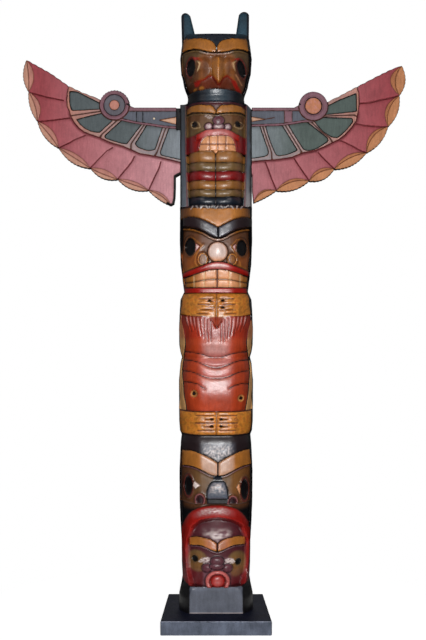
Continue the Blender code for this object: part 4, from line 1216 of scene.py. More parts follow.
def store_coats(thing, skin, relief, seam_reach=8):
    """Keep a skin's coats and its washes on the mesh, with its seams, and its hollows and ridges for painted
    shade and painted highlight.
    """
    mesh = thing.data

    def keep(name, columns):
        attribute = mesh.attributes.new(name, "FLOAT_VECTOR", "POINT")
        attribute.data.foreach_set("vector", np.stack(columns, 1).astype(np.float32).ravel())

    fields = list(skin.coats.values())
    seam = np.clip(np.maximum.reduce(fields), 0, seam_reach)
    fields += [np.full_like(relief, -FAR)] * (-len(fields) % 3)
    for first in range(0, len(fields), 3):
        keep(f"coats_{first // 3}", fields[first:first + 3])
    keep("tint_and_painted_light", list(skin.tint_and_painted_light[:, :3].T))
    ends = np.empty(2 * len(mesh.edges), np.int32)
    mesh.edges.foreach_get("vertices", ends)
    ends = ends.reshape(-1, 2)
    count = np.maximum(np.bincount(ends.ravel(), minlength=len(relief)), 1)
    smooth = relief.copy()
    for _ in range(5):
        total = np.bincount(ends[:, 0], smooth[ends[:, 1]], len(relief))
        total += np.bincount(ends[:, 1], smooth[ends[:, 0]], len(relief))
        smooth = 0.5 * smooth + 0.5 * total / count
    keep("state", [seam, relief - smooth, skin.tint_and_painted_light[:, 3]])


def paint_posts(skin, posts, body):
    """Slate side posts, a maroon line of painted shadow between them and the body, blackened towards the top,
    and a painted highlight low on the right post.
    """
    x, z, there = skin.x, skin.z, posts > 0
    aside = abs(x)
    # a maroon line as painted shadow between the posts and the body
    skin.paint(within(posts, aside - body - 0.5), "maroon")
    skin.paint(within(posts, aside - np.maximum(body + 2, POST_INNER)), "night")
    skin.glaze({"slate": 0.3, "teal": 0.2}, there, (aside - body - 3, 2))
    skin.wash("black", 0.8, (z - 1150, 80), there, (aside - body, 2), np.where(x < 0, 0.8, 0.3))
    skin.wash("black", 0.9, there, (aside - POST_HALF_WIDTH + 4, 1))
    # a painted highlight low on the right post
    skin.wash("wear_and_highlight", 0.25, (1100 - z, 90), there, (aside - body - 3, 2), x > 0)


def paint_foot(skin, y):
    """A black foot with a flat slate front."""
    z, aside = skin.z, abs(skin.x)
    skin.paint(FOOT_TOP + 0.5 * np.maximum(aside - 62, 0) - z, "black")
    front = within(FOOT_TOP - 1 - z, 64 - aside, -y)
    skin.paint(front, "slate")
    skin.wash("night", 0.2, (front, 1))
    # pale lines along the front's top and bottom edges: partly wear, partly painted highlight
    edge = np.minimum(abs(z - FOOT_TOP + 2), abs(z - LOG_BOTTOM))
    skin.wash("wear_and_highlight", 0.4, (1.8 - edge, 1), front > 0)


def paint_back(skin, y):
    """The black that comes round the sides, and the blue-black back."""
    x, z = skin.x, skin.z
    head = z > 1268
    left, right = (np.where(head, *pair) for pair in zip(BLACK_EDGE["head"], BLACK_EDGE["log"]))
    thin = np.where(between(z, FOOT_TOP, 236) > 0, 0.3, np.where(between(z, 524, 742) > 0, 0.5, 1))
    radius = np.interp(z, *np.array(SILHOUETTE).T)
    round_side = abs(x) - radius + np.where(x < 0, left, right) * thin
    waver = 1.2 * np.sin(z / 17) + 0.9 * np.sin(z / 7.3 + 1)
    black = np.maximum(np.minimum(round_side, FAR) + waver, y + 3)
    skin.paint(np.where(z > HEAD_TOP + 1, -FAR, black), "black")
    skin.wash("night", 0.85, (y - 8, 20))


def paint_crown(skin, y):
    """The blue-black crown, and the ears with their teal fronts."""
    x, z, root = skin.x, skin.z, HEAD_TOP - 12
    skin.paint(z - HEAD_TOP + 0.6, "night")
    for root_outer, root_inner, tip_outer, tip_inner, tip in EARS.values():
        shape = [(root_outer, root), (root_inner, root), (tip_inner, tip), (tip_outer, tip)]
        horn = within(polygon(x, z, shape), -4 - y, abs(root_outer) - 3 - abs(x))
        skin.paint(within(horn - 2.2, tip - 7 - z, z - HEAD_TOP + 22), "teal")
        skin.wash("night", 0.9, (HEAD_TOP + 12 - z, 26), horn > 1)
    skin.paint(np.where(z > HEAD_TOP - 1, y + 6, -FAR), "black")


def paint_log(pole):
    """Brush the coats over the finished log, worked out again for its final points."""
    x, y, z = points_of(pole).T
    z = z - crown_rise(y, z) * (z < HEAD_TOP + 12)
    skin = carve_front(x, z)
    body = np.interp(z, *np.array(BODY_TAPER).T)
    posts = between(z, POST_BOTTOM, POST_TOP)
    paint_posts(skin, posts, body)
    paint_foot(skin, y)
    paint_back(skin, y)
    paint_crown(skin, y)
    store_coats(pole, skin, skin.relief * (y < 0) * ((posts < 0) | (abs(x) < body + 1)))


# ---------------------------------------------------------------- the wings

WING_FRONT, WING_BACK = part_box("wing_left")[0].y / MM + 4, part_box("wing_left")[1].y / MM
TONGUE_DEPTH, TONGUE_BOTTOM, TONGUE_TOP = 14, 1100, 1256
CLEARANCE = 0.3              # between a wing board's tongue and its slot, all round
WING_PITCH = 1.25            # between the points of a board's front
# The bows say of each tip how far it bows outwards, where its inner facet ends and where its line runs.
WINGS = {
    "left": {
        "side": -1, "pink_sheen_and_tint": 1, "greyed": 0.4,
        "lead": [(-105, 1264), (-201, 1264), (-220, 1272)],
        "disc": (-249.5, 1269.5, 36), "rings": (27.2, 24.8, 12.3), "scallops": 15,
        "shoulder": [(-290, 1286), (-330, 1301), (-363, 1317), (-407, 1348), (-466, 1381)],
        "tips": [(-466, 1381), (-461, 1303), (-439, 1230), (-387, 1165), (-309, 1115), (-242, 1088),
                 (-166, 1061), (-110, 1023)],
        "bows": [(11, 15, 2.5), (7.5, 17, 5), (10, 14, 2), (12, 10, 0), (11, 9.5, -2), (11, 8, 0),
                 (4, 11, 5.5)],
        "feathers": [[(-458, 1301), (-445, 1298), (-417, 1290), (-375, 1282)],
                     [(-438, 1230), (-403, 1233), (-360, 1239)],
                     [(-383, 1167), (-360, 1178), (-346, 1186), (-322, 1196)],
                     [(-310, 1115), (-292, 1134), (-269, 1157), (-255, 1166)],
                     [(-242, 1088), (-230, 1103), (-216, 1119), (-205, 1134), (-201, 1144)],
                     [(-166, 1061), (-154, 1087), (-140, 1115), (-136, 1131)]],
        "root": [(-103, 1027), (-100, 1042), (-99, 1070), (-99, 1094)],
        "border": [(-362, 1316), (-365, 1303), (-367, 1285), (-366, 1268), (-360, 1254), (-356, 1241),
                   (-348, 1227), (-338, 1215), (-324, 1204), (-311, 1199), (-290, 1192), (-259, 1178),
                   (-228, 1169), (-187, 1151), (-140, 1143), (-89, 1130)],
        "panels": [[(-358, 1302), (-341, 1301), (-278, 1269), (-276, 1262), (-353, 1258), (-358, 1271)],
                   [(-343, 1237), (-334, 1242), (-285, 1248), (-262, 1254), (-248, 1240), (-287, 1204),
                    (-305, 1206), (-322, 1214), (-337, 1228)],
                   [(-228, 1234), (-180, 1229), (-220, 1176), (-232, 1177), (-271, 1190), (-272, 1194)],
                   [(-164, 1228), (-130, 1224), (-151, 1162), (-167, 1159), (-192, 1168), (-197, 1175)],
                   [(-111, 1221), (-84, 1221), (-84, 1137), (-134, 1148), (-136, 1154)]],
        "bar": [(-232, 1233), (-195, 1225), (-166, 1221), (-125, 1215), (-84, 1212)],
        "bar_strip": 1255, "bar_lines": (-195, -180), "patch": None,
        "triangle": [(-138, 1233), (-98, 1240), (-99, 1223)], "spike": None, "pin": (-152, 1237),
        "notch": (-98, 1209, 1238),
    },
    "right": {
        "side": 1, "pink_sheen_and_tint": 0.45, "greyed": 0,
        "lead": [(105, 1264), (192, 1264), (207, 1272)],
        "disc": (239, 1267.5, 35.5), "rings": (22, 20, 20), "scallops": 0,
        "shoulder": [(277, 1279), (302, 1291), (347, 1315), (403, 1344), (432, 1358), (457, 1367)],
        "tips": [(457, 1367), (451, 1294), (423, 1217), (370, 1153), (291, 1113), (229, 1084),
                 (148, 1060), (92, 1030)],
        "bows": [(12, 25, 13), (10.5, 20, 12), (10, 20, 13), (11, 15, 7), (11, 15, 8), (10, 16, 9.5),
                 (2, 15.5, 12)],
        "feathers": [[(451, 1294), (428, 1287), (402, 1282), (379, 1276), (354, 1275)],
                     [(423, 1217), (396, 1217), (365, 1220), (345, 1225)],
                     [(370, 1153), (354, 1159), (333, 1171), (308, 1183)],
                     [(292, 1113), (279, 1125), (259, 1145), (252, 1154)],
                     [(229, 1085), (215, 1105), (202, 1124), (192, 1140)],
                     [(148, 1062), (137, 1089), (129, 1111), (122, 1130)]],
        "root": [(89, 1060), (89, 1095)],
        "border": [(347, 1313), (351, 1299), (352, 1276), (349, 1252), (345, 1232), (333, 1215), (317, 1197),
                   (303, 1186), (289, 1180), (268, 1169), (245, 1159), (213, 1153), (186, 1142), (153, 1137),
                   (112, 1134), (86, 1131)],
        "panels": [[(264, 1266), (290, 1276), (312, 1288), (332, 1299), (343, 1300), (344, 1256), (268, 1248),
                    (262, 1262)],
                   [(236, 1239), (333, 1236), (335, 1230), (322, 1212), (298, 1191), (286, 1192),
                    (261, 1208)],
                   [(174, 1230), (212, 1236), (274, 1187), (273, 1181), (245, 1163), (225, 1159), (216, 1162),
                    (194, 1195)],
                   [(120, 1228), (156, 1228), (198, 1160), (180, 1151), (154, 1146), (148, 1149),
                    (134, 1180)],
                   [(79, 1228), (103, 1228), (128, 1155), (125, 1147), (111, 1143), (79, 1140)]],
        "bar": [(80, 1218), (120, 1219), (164, 1221), (219, 1229)],
        "bar_strip": 1256, "bar_lines": (), "patch": (168, 187),
        "triangle": [(85, 1241), (120, 1235), (88, 1230)], "spike": [(120, 1235), (143, 1239)], "pin": None,
        "notch": None,
    },
}


def nicked(start, end, bulge, pitch, nick):
    """Points from start to just before end, bowed to the right of the way, with gouge nicks."""
    length = math.dist(start, end)
    count = max(2, round(length / 2.2))
    across = ((end[1] - start[1]) / length, -(end[0] - start[0]) / length)
    points = []
    for i in range(count):
        t = i / count
        aside = 4 * bulge * t * (1 - t) + nick * abs(math.sin(math.pi * t * round(length / pitch)))
        points.append((start[0] + t * (end[0] - start[0]) + aside * across[0],
                       start[1] + t * (end[1] - start[1]) + aside * across[1]))
    return points


def wing_outline(wing):
    """The board's outline: tongue, leading edge, disc, feather tips and root."""
    side = wing["side"]
    face, tongue = side * (POST_HALF_WIDTH + CLEARANCE), side * (POST_HALF_WIDTH - TONGUE_DEPTH)
    outline = [(tongue, TONGUE_BOTTOM), (tongue, TONGUE_TOP), (face, TONGUE_TOP),
               (face, wing["lead"][0][1])]
    outline += wing["lead"]
    x, z, radius = wing["disc"]
    before, after = wing["lead"][-1], wing["shoulder"][0]
    first, last = math.atan2(before[1] - z, before[0] - x), math.atan2(after[1] - z, after[0] - x)
    for angle in np.linspace(first, last, 60):
        reach = radius + (1.5 * abs(math.sin(angle * wing["scallops"])) if wing["scallops"] else 0)
        outline.append((x + reach * math.cos(angle), z + reach * math.sin(angle)))
    shoulder = wing["shoulder"]
    for start, end in zip(shoulder, shoulder[1:]):
        outline += nicked(start, end, 0, 19, -side * 1.3)
    tips = wing["tips"]
    for start, end, (bow, _, _) in zip(tips, tips[1:], wing["bows"]):
        outline += nicked(start, end, -side * bow, 9, -side * 1.1)
    return outline + [tips[-1]] + wing["root"] + [(face, TONGUE_BOTTOM)]


def carve_feathers(skin, wing, outside):
    """The long feathers below the panels, with grooves between them and faceted tips."""
    x, z, side = skin.x, skin.z, wing["side"]
    skin.relief -= 2.6 * np.exp(-np.clip(outside, 0, None) / 9)
    # painted sheen on the feathers, paler towards the log
    skin.wash("pink_sheen_and_tint", wing["pink_sheen_and_tint"], (430 - abs(x), 330))
    for line in wing["feathers"]:
        distance = stroke(x, z, line)
        (x0, z0), (x1, z1) = line[0], line[-1]
        length = math.hypot(x1 - x0, z1 - z0)
        below = ((x - x0) * (z0 - z1) + (z - z0) * (x1 - x0)) / length * side
        skin.relief -= 1.6 * np.exp(-distance / 9) * (below > 0)
        skin.wash("shade", 0.35, (9 - distance, 9), below > 0)
        skin.cut(distance, 4, 1.6)
        skin.wash("shade", 0.95, (1.9 - distance, 0.8))
    band = soft(outside, 1) * soft(7.5 - outside, 4) * soft(1262 - z, 16)
    skin.wash("shade", 0.7, band)
    tips = wing["tips"]
    for start, end, (_, depth, line) in zip(tips, tips[1:], wing["bows"]):
        run = np.array(end, float) - start
        length = np.linalg.norm(run)
        run /= length
        t = ((x - start[0]) * run[0] + (z - start[1]) * run[1]) / length
        inward = ((x - start[0]) * run[1] - (z - start[1]) * run[0]) * side
        arc = np.clip(4 * t * (1 - t), 0, 1)
        ends = length * np.minimum(t, 1 - t)
        lens, rim = within(depth * arc - inward, ends), within(line * arc - inward, ends)
        skin.paint(within(lens, outside), "tan")
        skin.wash("line", 0.25, (lens, 1), (-rim, 1))
        skin.lay(lens, 0.2, 2)
        skin.lay(rim, -1.2 - 0.2 * np.clip(rim, 0, 14), 2)
        # painted sheen on the tips, mainly on the left wing
        skin.wash("pink_sheen_and_tint", 0.45 * wing["pink_sheen_and_tint"] ** 2, (lens, 1))
        skin.wash("cream", 0.18 * wing["pink_sheen_and_tint"], (rim, 2))
        tapered = np.where(ends > 0, 1, 9)
        skin.wash("line", 0.9, (1.5 - abs(rim + 0.4) * tapered, 1))
        skin.wash("line", 0.6, (1.3 - abs(lens) * tapered, 1))


def carve_panels(skin, wing, zone):
    """The sunk slate panels between tan ribs, each rib parted by a dark line."""
    x, z = skin.x, skin.z
    skin.lay(zone, 0, 2, coat="tan")
    skin.wash("pink_sheen_and_tint", 0.45, (zone, 1))
    # painted sheen: the ribs paler towards the log
    skin.wash("pale", 0.75, (zone, 1), (400 - abs(x), 240))
    panels = [rounded(x, z, corners, 1.4) + 1.4 for corners in wing["panels"]]
    for first, second in zip(panels, panels[1:]):
        near = within(26 + np.minimum(first, second), zone)
        skin.paint(within(1.7 - 0.5 * abs(first - second), near), "line")
    for panel in panels:
        skin.lay(panel + 4.2, 0.9, 2)
        skin.paint(panel + 1.5, "black")
        skin.lay(panel, -1.4, 1.8)
        skin.paint(panel - 1, "slate")
        skin.wash("bar", wing["greyed"], (panel - 1, 0.5))
        # painted sheen: the panels paler towards the log
        skin.wash("pale", 0.7, (panel - 1, 0.5), (210 - abs(x), 120))
    skin.cut(abs(zone), 3, 1, "shade", 0.42)


def carve_bar(skin, wing):
    """The grey bar along the top, from the log to the disc, with its strips and marks, and a painted shadow
    beneath it.
    """
    x, z, side = skin.x, skin.z, wing["side"]
    low = above(x, z, wing["bar"])
    bar = within(low, side * (wing["disc"][0] - x))
    # painted shadow under the bar
    skin.wash("black", 0.45, (low + 11, 12), side * (wing["disc"][0] - x) > 0)
    skin.lay(bar, 1.2, 2)
    skin.paint(bar + 1.6, "line")
    skin.paint(bar, "mauve")
    skin.cut(np.maximum(abs(low - 4.5), -bar), 3, 1, "line", 0.36)
    middle = within(low - 5, bar, wing["bar_strip"] - z)
    skin.paint(middle, "bar")
    skin.cut(np.maximum(abs(z - wing["bar_strip"]), -bar), 3, 1, "line", 0.36)
    if wing["patch"]:
        patch = within(between(x, *wing["patch"]), middle)
        skin.paint(patch, "mauve")
        skin.paint(within(1 - abs(patch), middle), "line")
    for line in wing["bar_lines"]:
        skin.cut(np.maximum(abs(x - line), -middle), 3, 1, "black", 0.36)
    triangle = polygon(x, z, wing["triangle"])
    skin.paint(triangle + 1.6, "line")
    if wing["spike"]:
        skin.paint(1.2 - stroke(x, z, wing["spike"]), "line")
    skin.paint(triangle, "tan")
    skin.glaze({"pink_sheen_and_tint": 0.4, "cream": 0.35}, (triangle, 1))
    skin.lay(triangle, -1, 2)
    if wing["pin"]:
        skin.paint(oval(x, z, *wing["pin"], 2.4, 2.4), "cream")


def carve_disc(skin, wing):
    """The round boss where the bar meets the feathers: rings about a domed hub."""
    x, z = skin.x, skin.z
    middle, height, radius = wing["disc"]
    outer, inner, hub = wing["rings"]
    reach = np.hypot(x - middle, z - height)
    skin.paint(radius + 2 - reach, "line")
    skin.lay(radius - reach, 3.4, 1.8)
    skin.paint(radius - 0.8 - reach, "mauve")
    skin.cut(reach - 0.5 * (radius + outer), 8, -0.8)
    skin.wash("line", 0.4, (1.2 - abs(reach - outer - 3), 1))
    skin.cut(abs(reach - 0.5 * (outer + inner)), 3, 1.6)
    skin.paint(within(outer - reach, reach - inner), "black")
    skin.wash("mauve", 0.25, within(outer - reach, reach - inner))
    skin.paint(inner - reach, "bar")
    skin.wash("tan", 0.05, (inner - reach, 1))
    skin.paint(hub - reach, "tan")
    patches = np.maximum(flecks(x + 0.7 * z, z - 0.4 * x, 7, 9), wing["pink_sheen_and_tint"])
    skin.wash("pink_sheen_and_tint", 0.5, (hub - reach, 1.5), patches)
    skin.cut(abs(reach - hub), 2.4, 1, "line", 0.3)
    skin.lay(hub - reach, 3 + dome(hub - reach, hub, 1.6), 2)


def carve_wing(x, z, wing, outline):
    """One wing's carving and paint, seen from the front."""
    skin = Skin(x, z, WING_PAINTS, "feather", -1)
    edge = polygon(x, z, outline)
    border, far = wing["border"], wing["side"] * 40
    zone = polygon(x, z, border + [(far, border[-1][1]), (far, 1460), (border[0][0], 1460)])
    carve_feathers(skin, wing, -zone)
    carve_panels(skin, wing, zone)
    carve_bar(skin, wing)
    carve_disc(skin, wing)
    # the left wing's notch beside the log: recessed and painted black as painted shadow of the slot
    if wing["notch"]:
        limit, low, half_way = wing["notch"]
        notch = within(x - limit, z - low, 1280 - z)
        skin.lay(notch, -8, 2, coat="black")
        skin.wash("bar", 0.06, (within(notch, z - half_way), 2))
    skin.relief -= 2.2 * np.clip(1 - 0.5 * edge, 0, 1) ** 1.5
    skin.paint(1.1 - edge, "black")
    if wing["side"] < 0:
        skin.paint(within(5.5 - edge, 122 - abs(x), 1118 - z), "black")
    return skin


def cut_board(name, outline):
    """A board with a finely divided front, cut to its outline."""
    shape = np.array(outline)
    low, high = shape.min(0) - 3, shape.max(0) + 3
    columns, rows = (int(count) for count in np.ceil((high - low) / WING_PITCH))
    board = begin(bpy.ops.mesh.primitive_grid_add, name, x_subdivisions=columns,
                  y_subdivisions=rows, size=1)
    grid = points_of(board) * MM
    x, z = (low[i] + (grid[:, i] + 0.5) * (high[i] - low[i]) for i in range(2))
    move_points(board, np.stack([x, np.full_like(x, WING_FRONT), z], 1))
    with editing(board, chosen=polygon(x, z, outline) < -2.5 * WING_PITCH):
        bpy.ops.mesh.delete(type="VERT")
        bpy.ops.mesh.select_all(action="DESELECT")
        bpy.ops.mesh.select_non_manifold(extend=False)
        thickness = (0, (WING_BACK - WING_FRONT) * MM, 0)
        bpy.ops.mesh.extrude_region_move(TRANSFORM_OT_translate={"value": thickness})
        bpy.ops.mesh.edge_face_add()
        bpy.ops.mesh.select_all(action="SELECT")
        bpy.ops.mesh.normals_make_consistent(inside=False)
    cutter = begin(bpy.ops.mesh.primitive_circle_add, "outline", vertices=len(outline), radius=1,
                   fill_type="NGON")
    move_points(cutter, np.stack([shape[:, 0], np.full(len(shape), WING_FRONT - 20), shape[:, 1]], 1))
    with editing(cutter, "FACE"):
        bpy.ops.mesh.extrude_region_move(TRANSFORM_OT_translate={"value": (0, 60 * MM, 0)})
        bpy.ops.mesh.select_all(action="SELECT")
        bpy.ops.mesh.normals_make_consistent(inside=False)
    apply_boolean(board, cutter, "INTERSECT")
    return board


def build_wing(name):
    """One wing board, cut, carved and painted."""
    outline = wing_outline(WINGS[name])
    board = cut_board(f"wing_board_{name}", outline)
    points = points_of(board)
    x, y, z = points.T
    skin = carve_wing(x, z, WINGS[name], outline)
    front, tongue = y < WING_FRONT + 1, abs(x) < POST_HALF_WIDTH - 0.5
    uneven = roughness_of_hand(points, 9, 0.2)
    points[:, 1] += np.where(front, -np.where(tongue, 0, skin.relief + uneven), 0.4 * uneven)
    move_points(board, points)
    skin.paint(np.where(front, -FAR, FAR), "black")
    store_coats(board, skin, np.where(front, skin.relief, 0))
    return board


# ---------------------------------------------------------------- finishes

def add_node(tree, kind, inputs=None, **settings):
    """Add a shader node, with each input a fixed value or a link from an output. Gives its outputs."""
    new = tree.nodes.new(kind)
    for name, value in settings.items():
        setattr(new, name, value)
    for socket, value in (inputs or {}).items():
        if isinstance(value, bpy.types.NodeSocket):
            tree.links.new(value, new.inputs[socket])
        else:
            new.inputs[socket].default_value = value
    return new.outputs


def new_material(name):
    """An empty material and its node tree."""
    material = bpy.data.materials.new(name)
    material.use_nodes = True
    material.node_tree.nodes.clear()
    return material, material.node_tree


def painted_wood(name, paints, gloss=0.42, mottling=0.5, speckle=0.34, varnish=0.22, shine=0.34):
    """Acrylic paint brushed on carved softwood under a satin varnish.

    The eye sees flat, slightly mottled colours with dark seams where the coats meet, painted shade in
    the hollows and painted highlight on the ridges, the brush's streaks along the grain, and a broad
    soft sheen that the stippled varnish breaks up.
    """
    material, tree = new_material(name)
    place = add_node(tree, "ShaderNodeTexCoord")["Object"]
    upright = add_node(tree, "ShaderNodeMapping", {"Vector": place, "Scale": (1.0, 1.0, 0.14)})[0]
    blotch, streak, stipple, drift = (
        add_node(tree, "ShaderNodeTexNoise", {"Vector": where, "Scale": 1 / (size * MM),
                                              "Detail": detail, "Roughness": roughness})["Fac"]
        for where, size, detail, roughness in ((place, 34, 3, 0.6), (upright, 5, 3, 0.65),
                                               (place, 3.2, 3, 0.7), (place, 7, 2, 0.5)))
    waver = add_node(tree, "ShaderNodeMapRange", {0: drift, 1: 0.25, 2: 0.75, 3: -0.5, 4: 0.5})[0]
    state = add_node(tree, "ShaderNodeAttribute", attribute_name="state")["Vector"]
    seam, hollow, tint_and_light_share = add_node(tree, "ShaderNodeSeparateXYZ", {0: state})
    colour = (*srgb("140b08"), 1.0)          # the bare, darkened wood in the seams
    for i, text in enumerate(paints.values()):
        if i % 3 == 0:
            held = add_node(tree, "ShaderNodeAttribute", attribute_name=f"coats_{i // 3}")["Vector"]
            fields = add_node(tree, "ShaderNodeSeparateXYZ", {0: held})
        field = add_node(tree, "ShaderNodeMath", {0: fields[i % 3], 1: waver}, operation="ADD")[0]
        share = add_node(tree, "ShaderNodeMapRange", {0: field, 1: -0.45, 2: 0.45})[0]
        coat = {0: share, 6: colour, 7: (*srgb(text), 1.0)}
        colour = add_node(tree, "ShaderNodeMix", coat, data_type="RGBA")[2]
    bare = add_node(tree, "ShaderNodeMath", {0: 1.0, 1: tint_and_light_share}, operation="SUBTRACT")[0]
    colour = add_node(tree, "ShaderNodeVectorMath", {0: colour, 3: bare}, operation="SCALE")[0]
    tint_and_painted_light = add_node(tree, "ShaderNodeAttribute", attribute_name="tint_and_painted_light")["Vector"]
    colour = add_node(tree, "ShaderNodeVectorMath", {0: colour, 1: tint_and_painted_light}, operation="ADD")[0]
    for source, start, end, low, high in (       # darker at seams, painted shade in hollows, painted highlight on ridges
            (blotch, 0.28, 0.72, 1 - 0.42 * mottling, 1 + 0.36 * mottling),
            (streak, 0.25, 0.75, 0.84, 1.14), (stipple, 0.3, 0.7, 0.9, 1.1),
            (seam, 0, 5, 0.86, 1), (hollow, -1.6, 0.9, 0.5, 1.18)):
        tone = add_node(tree, "ShaderNodeMapRange", {0: source, 1: start, 2: end, 3: low, 4: high})[0]
        colour = add_node(tree, "ShaderNodeVectorMath", {0: colour, 3: tone}, operation="SCALE")[0]
    polish = {0: stipple, 1: 0.3, 2: 0.7, 3: gloss - 0.08, 4: gloss + 0.10}
    rough = add_node(tree, "ShaderNodeMath", {0: streak, 1: stipple}, operation="ADD")[0]
    bump = add_node(tree, "ShaderNodeBump", {"Height": rough, "Strength": speckle, "Distance": 0.0006})[0]
    shader = add_node(tree, "ShaderNodeBsdfPrincipled", {
        "Base Color": colour, "Roughness": add_node(tree, "ShaderNodeMapRange", polish)[0],
        "Coat Weight": varnish, "Coat Roughness": 0.26, "Specular IOR Level": shine,
        "Normal": bump, "Coat Normal": bump})
    add_node(tree, "ShaderNodeOutputMaterial", {"Surface": shader[0]})
    return material


# ---------------------------------------------------------------- settings and operators

BOARD_TAPER = (9, 10)        # how far the board's back corners stand in, left and right
CAMERA_PLACE = (-0.0074, -2.722, 0.742)
CAMERA_LENS = 62.04
FLASH_PLACE = (0.04, -2.70, 0.86)
SOFTBOXES = (                # place and size in metres, and power in watts
    ("left_soft", (-2.2, -2.2, 2), 1.6, 8), ("right_soft", (2.3, -2, 1.8), 1.6, 7),
    ("back_soft", (0, 2.8, 1.8), 1.2, 14))


class TotemSizes(bpy.types.PropertyGroup):
    """The sizes and the light that a user would change."""
    wear: bpy.props.FloatProperty(
        name="Mottling", description="How blotched the paint is",
        default=0.5, min=0, max=1, subtype="FACTOR")
    board_bevel: bpy.props.FloatProperty(
        name="Board edge", description="Width of the base board's rounded edge",
        default=0.0025, min=0, unit="LENGTH", subtype="DISTANCE")
    flash: bpy.props.FloatProperty(
        name="Flash", description="Power of the light beside the camera",
        default=75, min=0, unit="POWER")
    room: bpy.props.FloatProperty(
        name="Room light", description="Brightness of the light from all around", default=0.1, min=0)
    floor_tone: bpy.props.FloatVectorProperty(
        name="Floor", description="Colour of the pale floor", default=srgb("f4f3f1"), subtype="COLOR")


def finish_piece(thing, node, material, angle=52):
    """Shade a finished piece, give it its paint, and set it in the frame in its CAD node's place."""
    thing.data.materials.clear()
    thing.data.materials.append(material)
    select_only(thing)
    bpy.ops.object.shade_smooth_by_angle(angle=math.radians(angle))
    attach(thing, BODY)
    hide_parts(node)


class TOTEM_OT_log(bpy.types.Operator):
    """Carve and paint the log with its five figures"""
    bl_idname = "totem.log"
    bl_label = "Carve Log"

    def execute(self, context):
        pole = roll_log()
        for side in EARS:
            apply_boolean(pole, add_ear(side), "UNION")
        for side in (-1, 1):
            ends = sorted((side * (POST_HALF_WIDTH - TONGUE_DEPTH - CLEARANCE), side * 130))
            low = (ends[0], WING_FRONT - CLEARANCE, TONGUE_BOTTOM - CLEARANCE)
            high = (ends[1], WING_BACK + CLEARANCE, TONGUE_TOP + CLEARANCE)
            apply_boolean(pole, add_block("slot", low, high), "DIFFERENCE")
        paint_log(pole)
        material = painted_wood("acrylic_on_carved_log", POLE_PAINTS, mottling=context.scene.totem.wear)
        finish_piece(pole, "pole", material)
        return {"FINISHED"}


class TOTEM_OT_wings(bpy.types.Operator):
    """Cut, carve and paint the two wing boards"""
    bl_idname = "totem.wings"
    bl_label = "Carve Wings"

    def execute(self, context):
        material = painted_wood("acrylic_on_wing_board", WING_PAINTS, gloss=0.6, mottling=0.3,
                                speckle=0.22, varnish=0, shine=0.16)
        for name in WINGS:
            finish_piece(build_wing(name), f"wing_{name}", material)
        return {"FINISHED"}


class TOTEM_OT_board(bpy.types.Operator):
    """Make the square board that the log stands on"""
    bl_idname = "totem.board"
    bl_label = "Make Base Board"

    def execute(self, context):
        low, high = (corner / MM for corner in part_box("base_board"))
        board = add_block("base_plank", low, high, context.scene.totem.board_bevel / MM)
        with editing(board):
            bpy.ops.mesh.subdivide(number_cuts=30)
        points = points_of(board)
        x, y, z = points.T
        back = np.clip((y - low.y) / (high.y - low.y), 0, 1)
        points[:, 0] -= np.sign(x) * np.where(x < 0, *BOARD_TAPER) * back * (abs(x) / high.x)
        skin = Skin(x, z, BOARD_PAINTS, "night")
        edge = 0.5 * (high.x - low.x) - np.maximum(abs(x), abs(y))
        skin.paint(1.6 - edge, "slate")
        skin.paint(within(1.8 - abs(np.hypot(edge, high.z - z)), high.z - z + 1), "wear_and_highlight")
        uneven = roughness_of_hand(points, 16, 0.5)
        points[:, 2] += np.where(z > high.z - 1, 0.4 * uneven - 0.2, 0)
        move_points(board, points)
        store_coats(board, skin, np.zeros_like(x))
        material = painted_wood("brushed_slate_on_plank", BOARD_PAINTS, gloss=0.7, mottling=0.9,
                                varnish=0, shine=0.1)
        finish_piece(board, "base_board", material, 30)
        return {"FINISHED"}




def paper(tone):
    """Pale seamless paper that glows faintly and fades to plain white away from the pole."""
    material, tree = new_material("seamless_paper")
    place = add_node(tree, "ShaderNodeTexCoord")["Object"]
    distance = add_node(tree, "ShaderNodeVectorMath", {0: place}, operation="LENGTH")["Value"]
    far = add_node(tree, "ShaderNodeMapRange", {0: distance, 1: 0.22, 2: 0.65})[0]
    near = add_node(tree, "ShaderNodeMath", {0: 1, 1: far}, operation="SUBTRACT")[0]
    colour = add_node(tree, "ShaderNodeVectorMath", {0: tone, 3: near}, operation="SCALE")[0]
    seen = add_node(tree, "ShaderNodeLightPath")["Is Camera Ray"]
    glow = add_node(tree, "ShaderNodeMapRange", {0: far, 1: 0, 2: 1, 3: 0.7, 4: 1})[0]
    glow = add_node(tree, "ShaderNodeMath", {0: glow, 1: seen}, operation="MULTIPLY")[0]
    shader = add_node(tree, "ShaderNodeBsdfPrincipled", {
        "Base Color": colour, "Roughness": 0.9, "Specular IOR Level": 0,
        "Emission Color": (1, 1, 1, 1), "Emission Strength": glow})
    add_node(tree, "ShaderNodeOutputMaterial", {"Surface": shader[0]})
    return material


def hang(name, data, place, turn):
    """Put a light or a camera in the scene, in metres."""
    holder = bpy.data.objects.new(name, data)
    bpy.context.scene.collection.objects.link(holder)
    holder.location, holder.rotation_euler = place, turn
    return holder


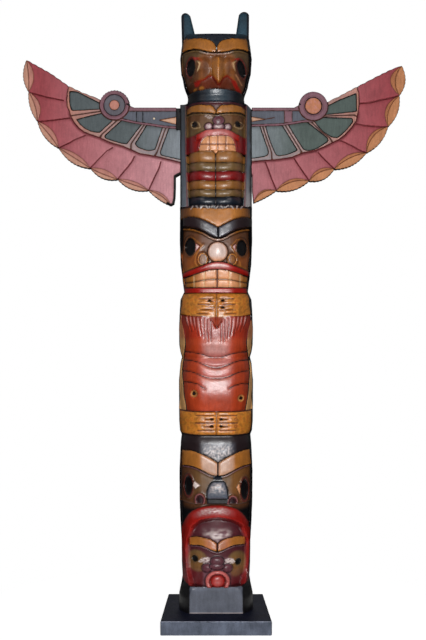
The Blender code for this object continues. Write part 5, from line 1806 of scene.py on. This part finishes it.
class TOTEM_OT_stage(bpy.types.Operator):
    """Set the pale floor, the soft light and the camera"""
    bl_idname = "totem.stage"
    bl_label = "Set Stage"

    def execute(self, context):
        settings, scene = context.scene.totem, context.scene
        floor = begin(bpy.ops.mesh.primitive_plane_add, "floor", size=12, location=(0, 0, 0))
        floor.data.materials.append(paper(settings.floor_tone))
        scene.world = bpy.data.worlds.new("studio")
        scene.world.use_nodes = True
        tree = scene.world.node_tree
        seen = add_node(tree, "ShaderNodeLightPath")["Is Camera Ray"]
        room = {0: seen, 6: (*[settings.room] * 3, 1), 7: (1, 1, 1, 1)}
        tone = add_node(tree, "ShaderNodeMix", room, data_type="RGBA")[2]
        tree.links.new(tone, tree.nodes["Background"].inputs["Color"])
        for name, place, size, power in (("flash", FLASH_PLACE, 0.3, settings.flash), *SOFTBOXES):
            light = bpy.data.lights.new(name, "AREA")
            light.size, light.energy = size, power
            aim = Vector((0, 0, 0.8)) - Vector(place)
            hang(name, light, place, aim.to_track_quat("-Z", "Y").to_euler())
        camera = bpy.data.cameras.new("camera")
        camera.lens, camera.sensor_width, camera.clip_end = CAMERA_LENS, 36, 40
        scene.camera = hang("camera", camera, CAMERA_PLACE, (math.pi / 2, 0, 0))
        scene.view_settings.view_transform = "Standard"
        return {"FINISHED"}


class TOTEM_PT_panel(bpy.types.Panel):
    """The totem pole's operators and settings"""
    bl_label = "Totem Pole"
    bl_idname = "TOTEM_PT_panel"
    bl_space_type = "VIEW_3D"
    bl_region_type = "UI"
    bl_category = "Totem Pole"

    def draw(self, context):
        column = self.layout.column()
        for name in TotemSizes.__annotations__:
            column.prop(context.scene.totem, name)
        for operator in OPERATORS:
            column.operator(operator.bl_idname)


OPERATORS = (TOTEM_OT_log, TOTEM_OT_wings, TOTEM_OT_board, TOTEM_OT_stage)
CLASSES = (TotemSizes, *OPERATORS, TOTEM_PT_panel)


def register():
    for cls in CLASSES:
        bpy.utils.register_class(cls)
    bpy.types.Scene.totem = bpy.props.PointerProperty(type=TotemSizes)


def unregister():
    del bpy.types.Scene.totem
    for cls in reversed(CLASSES):
        bpy.utils.unregister_class(cls)


def main():
    register()
    bpy.ops.totem.log()
    bpy.ops.totem.wings()
    bpy.ops.totem.board()
    bpy.ops.totem.stage()


if __name__ == "__main__":
    main()
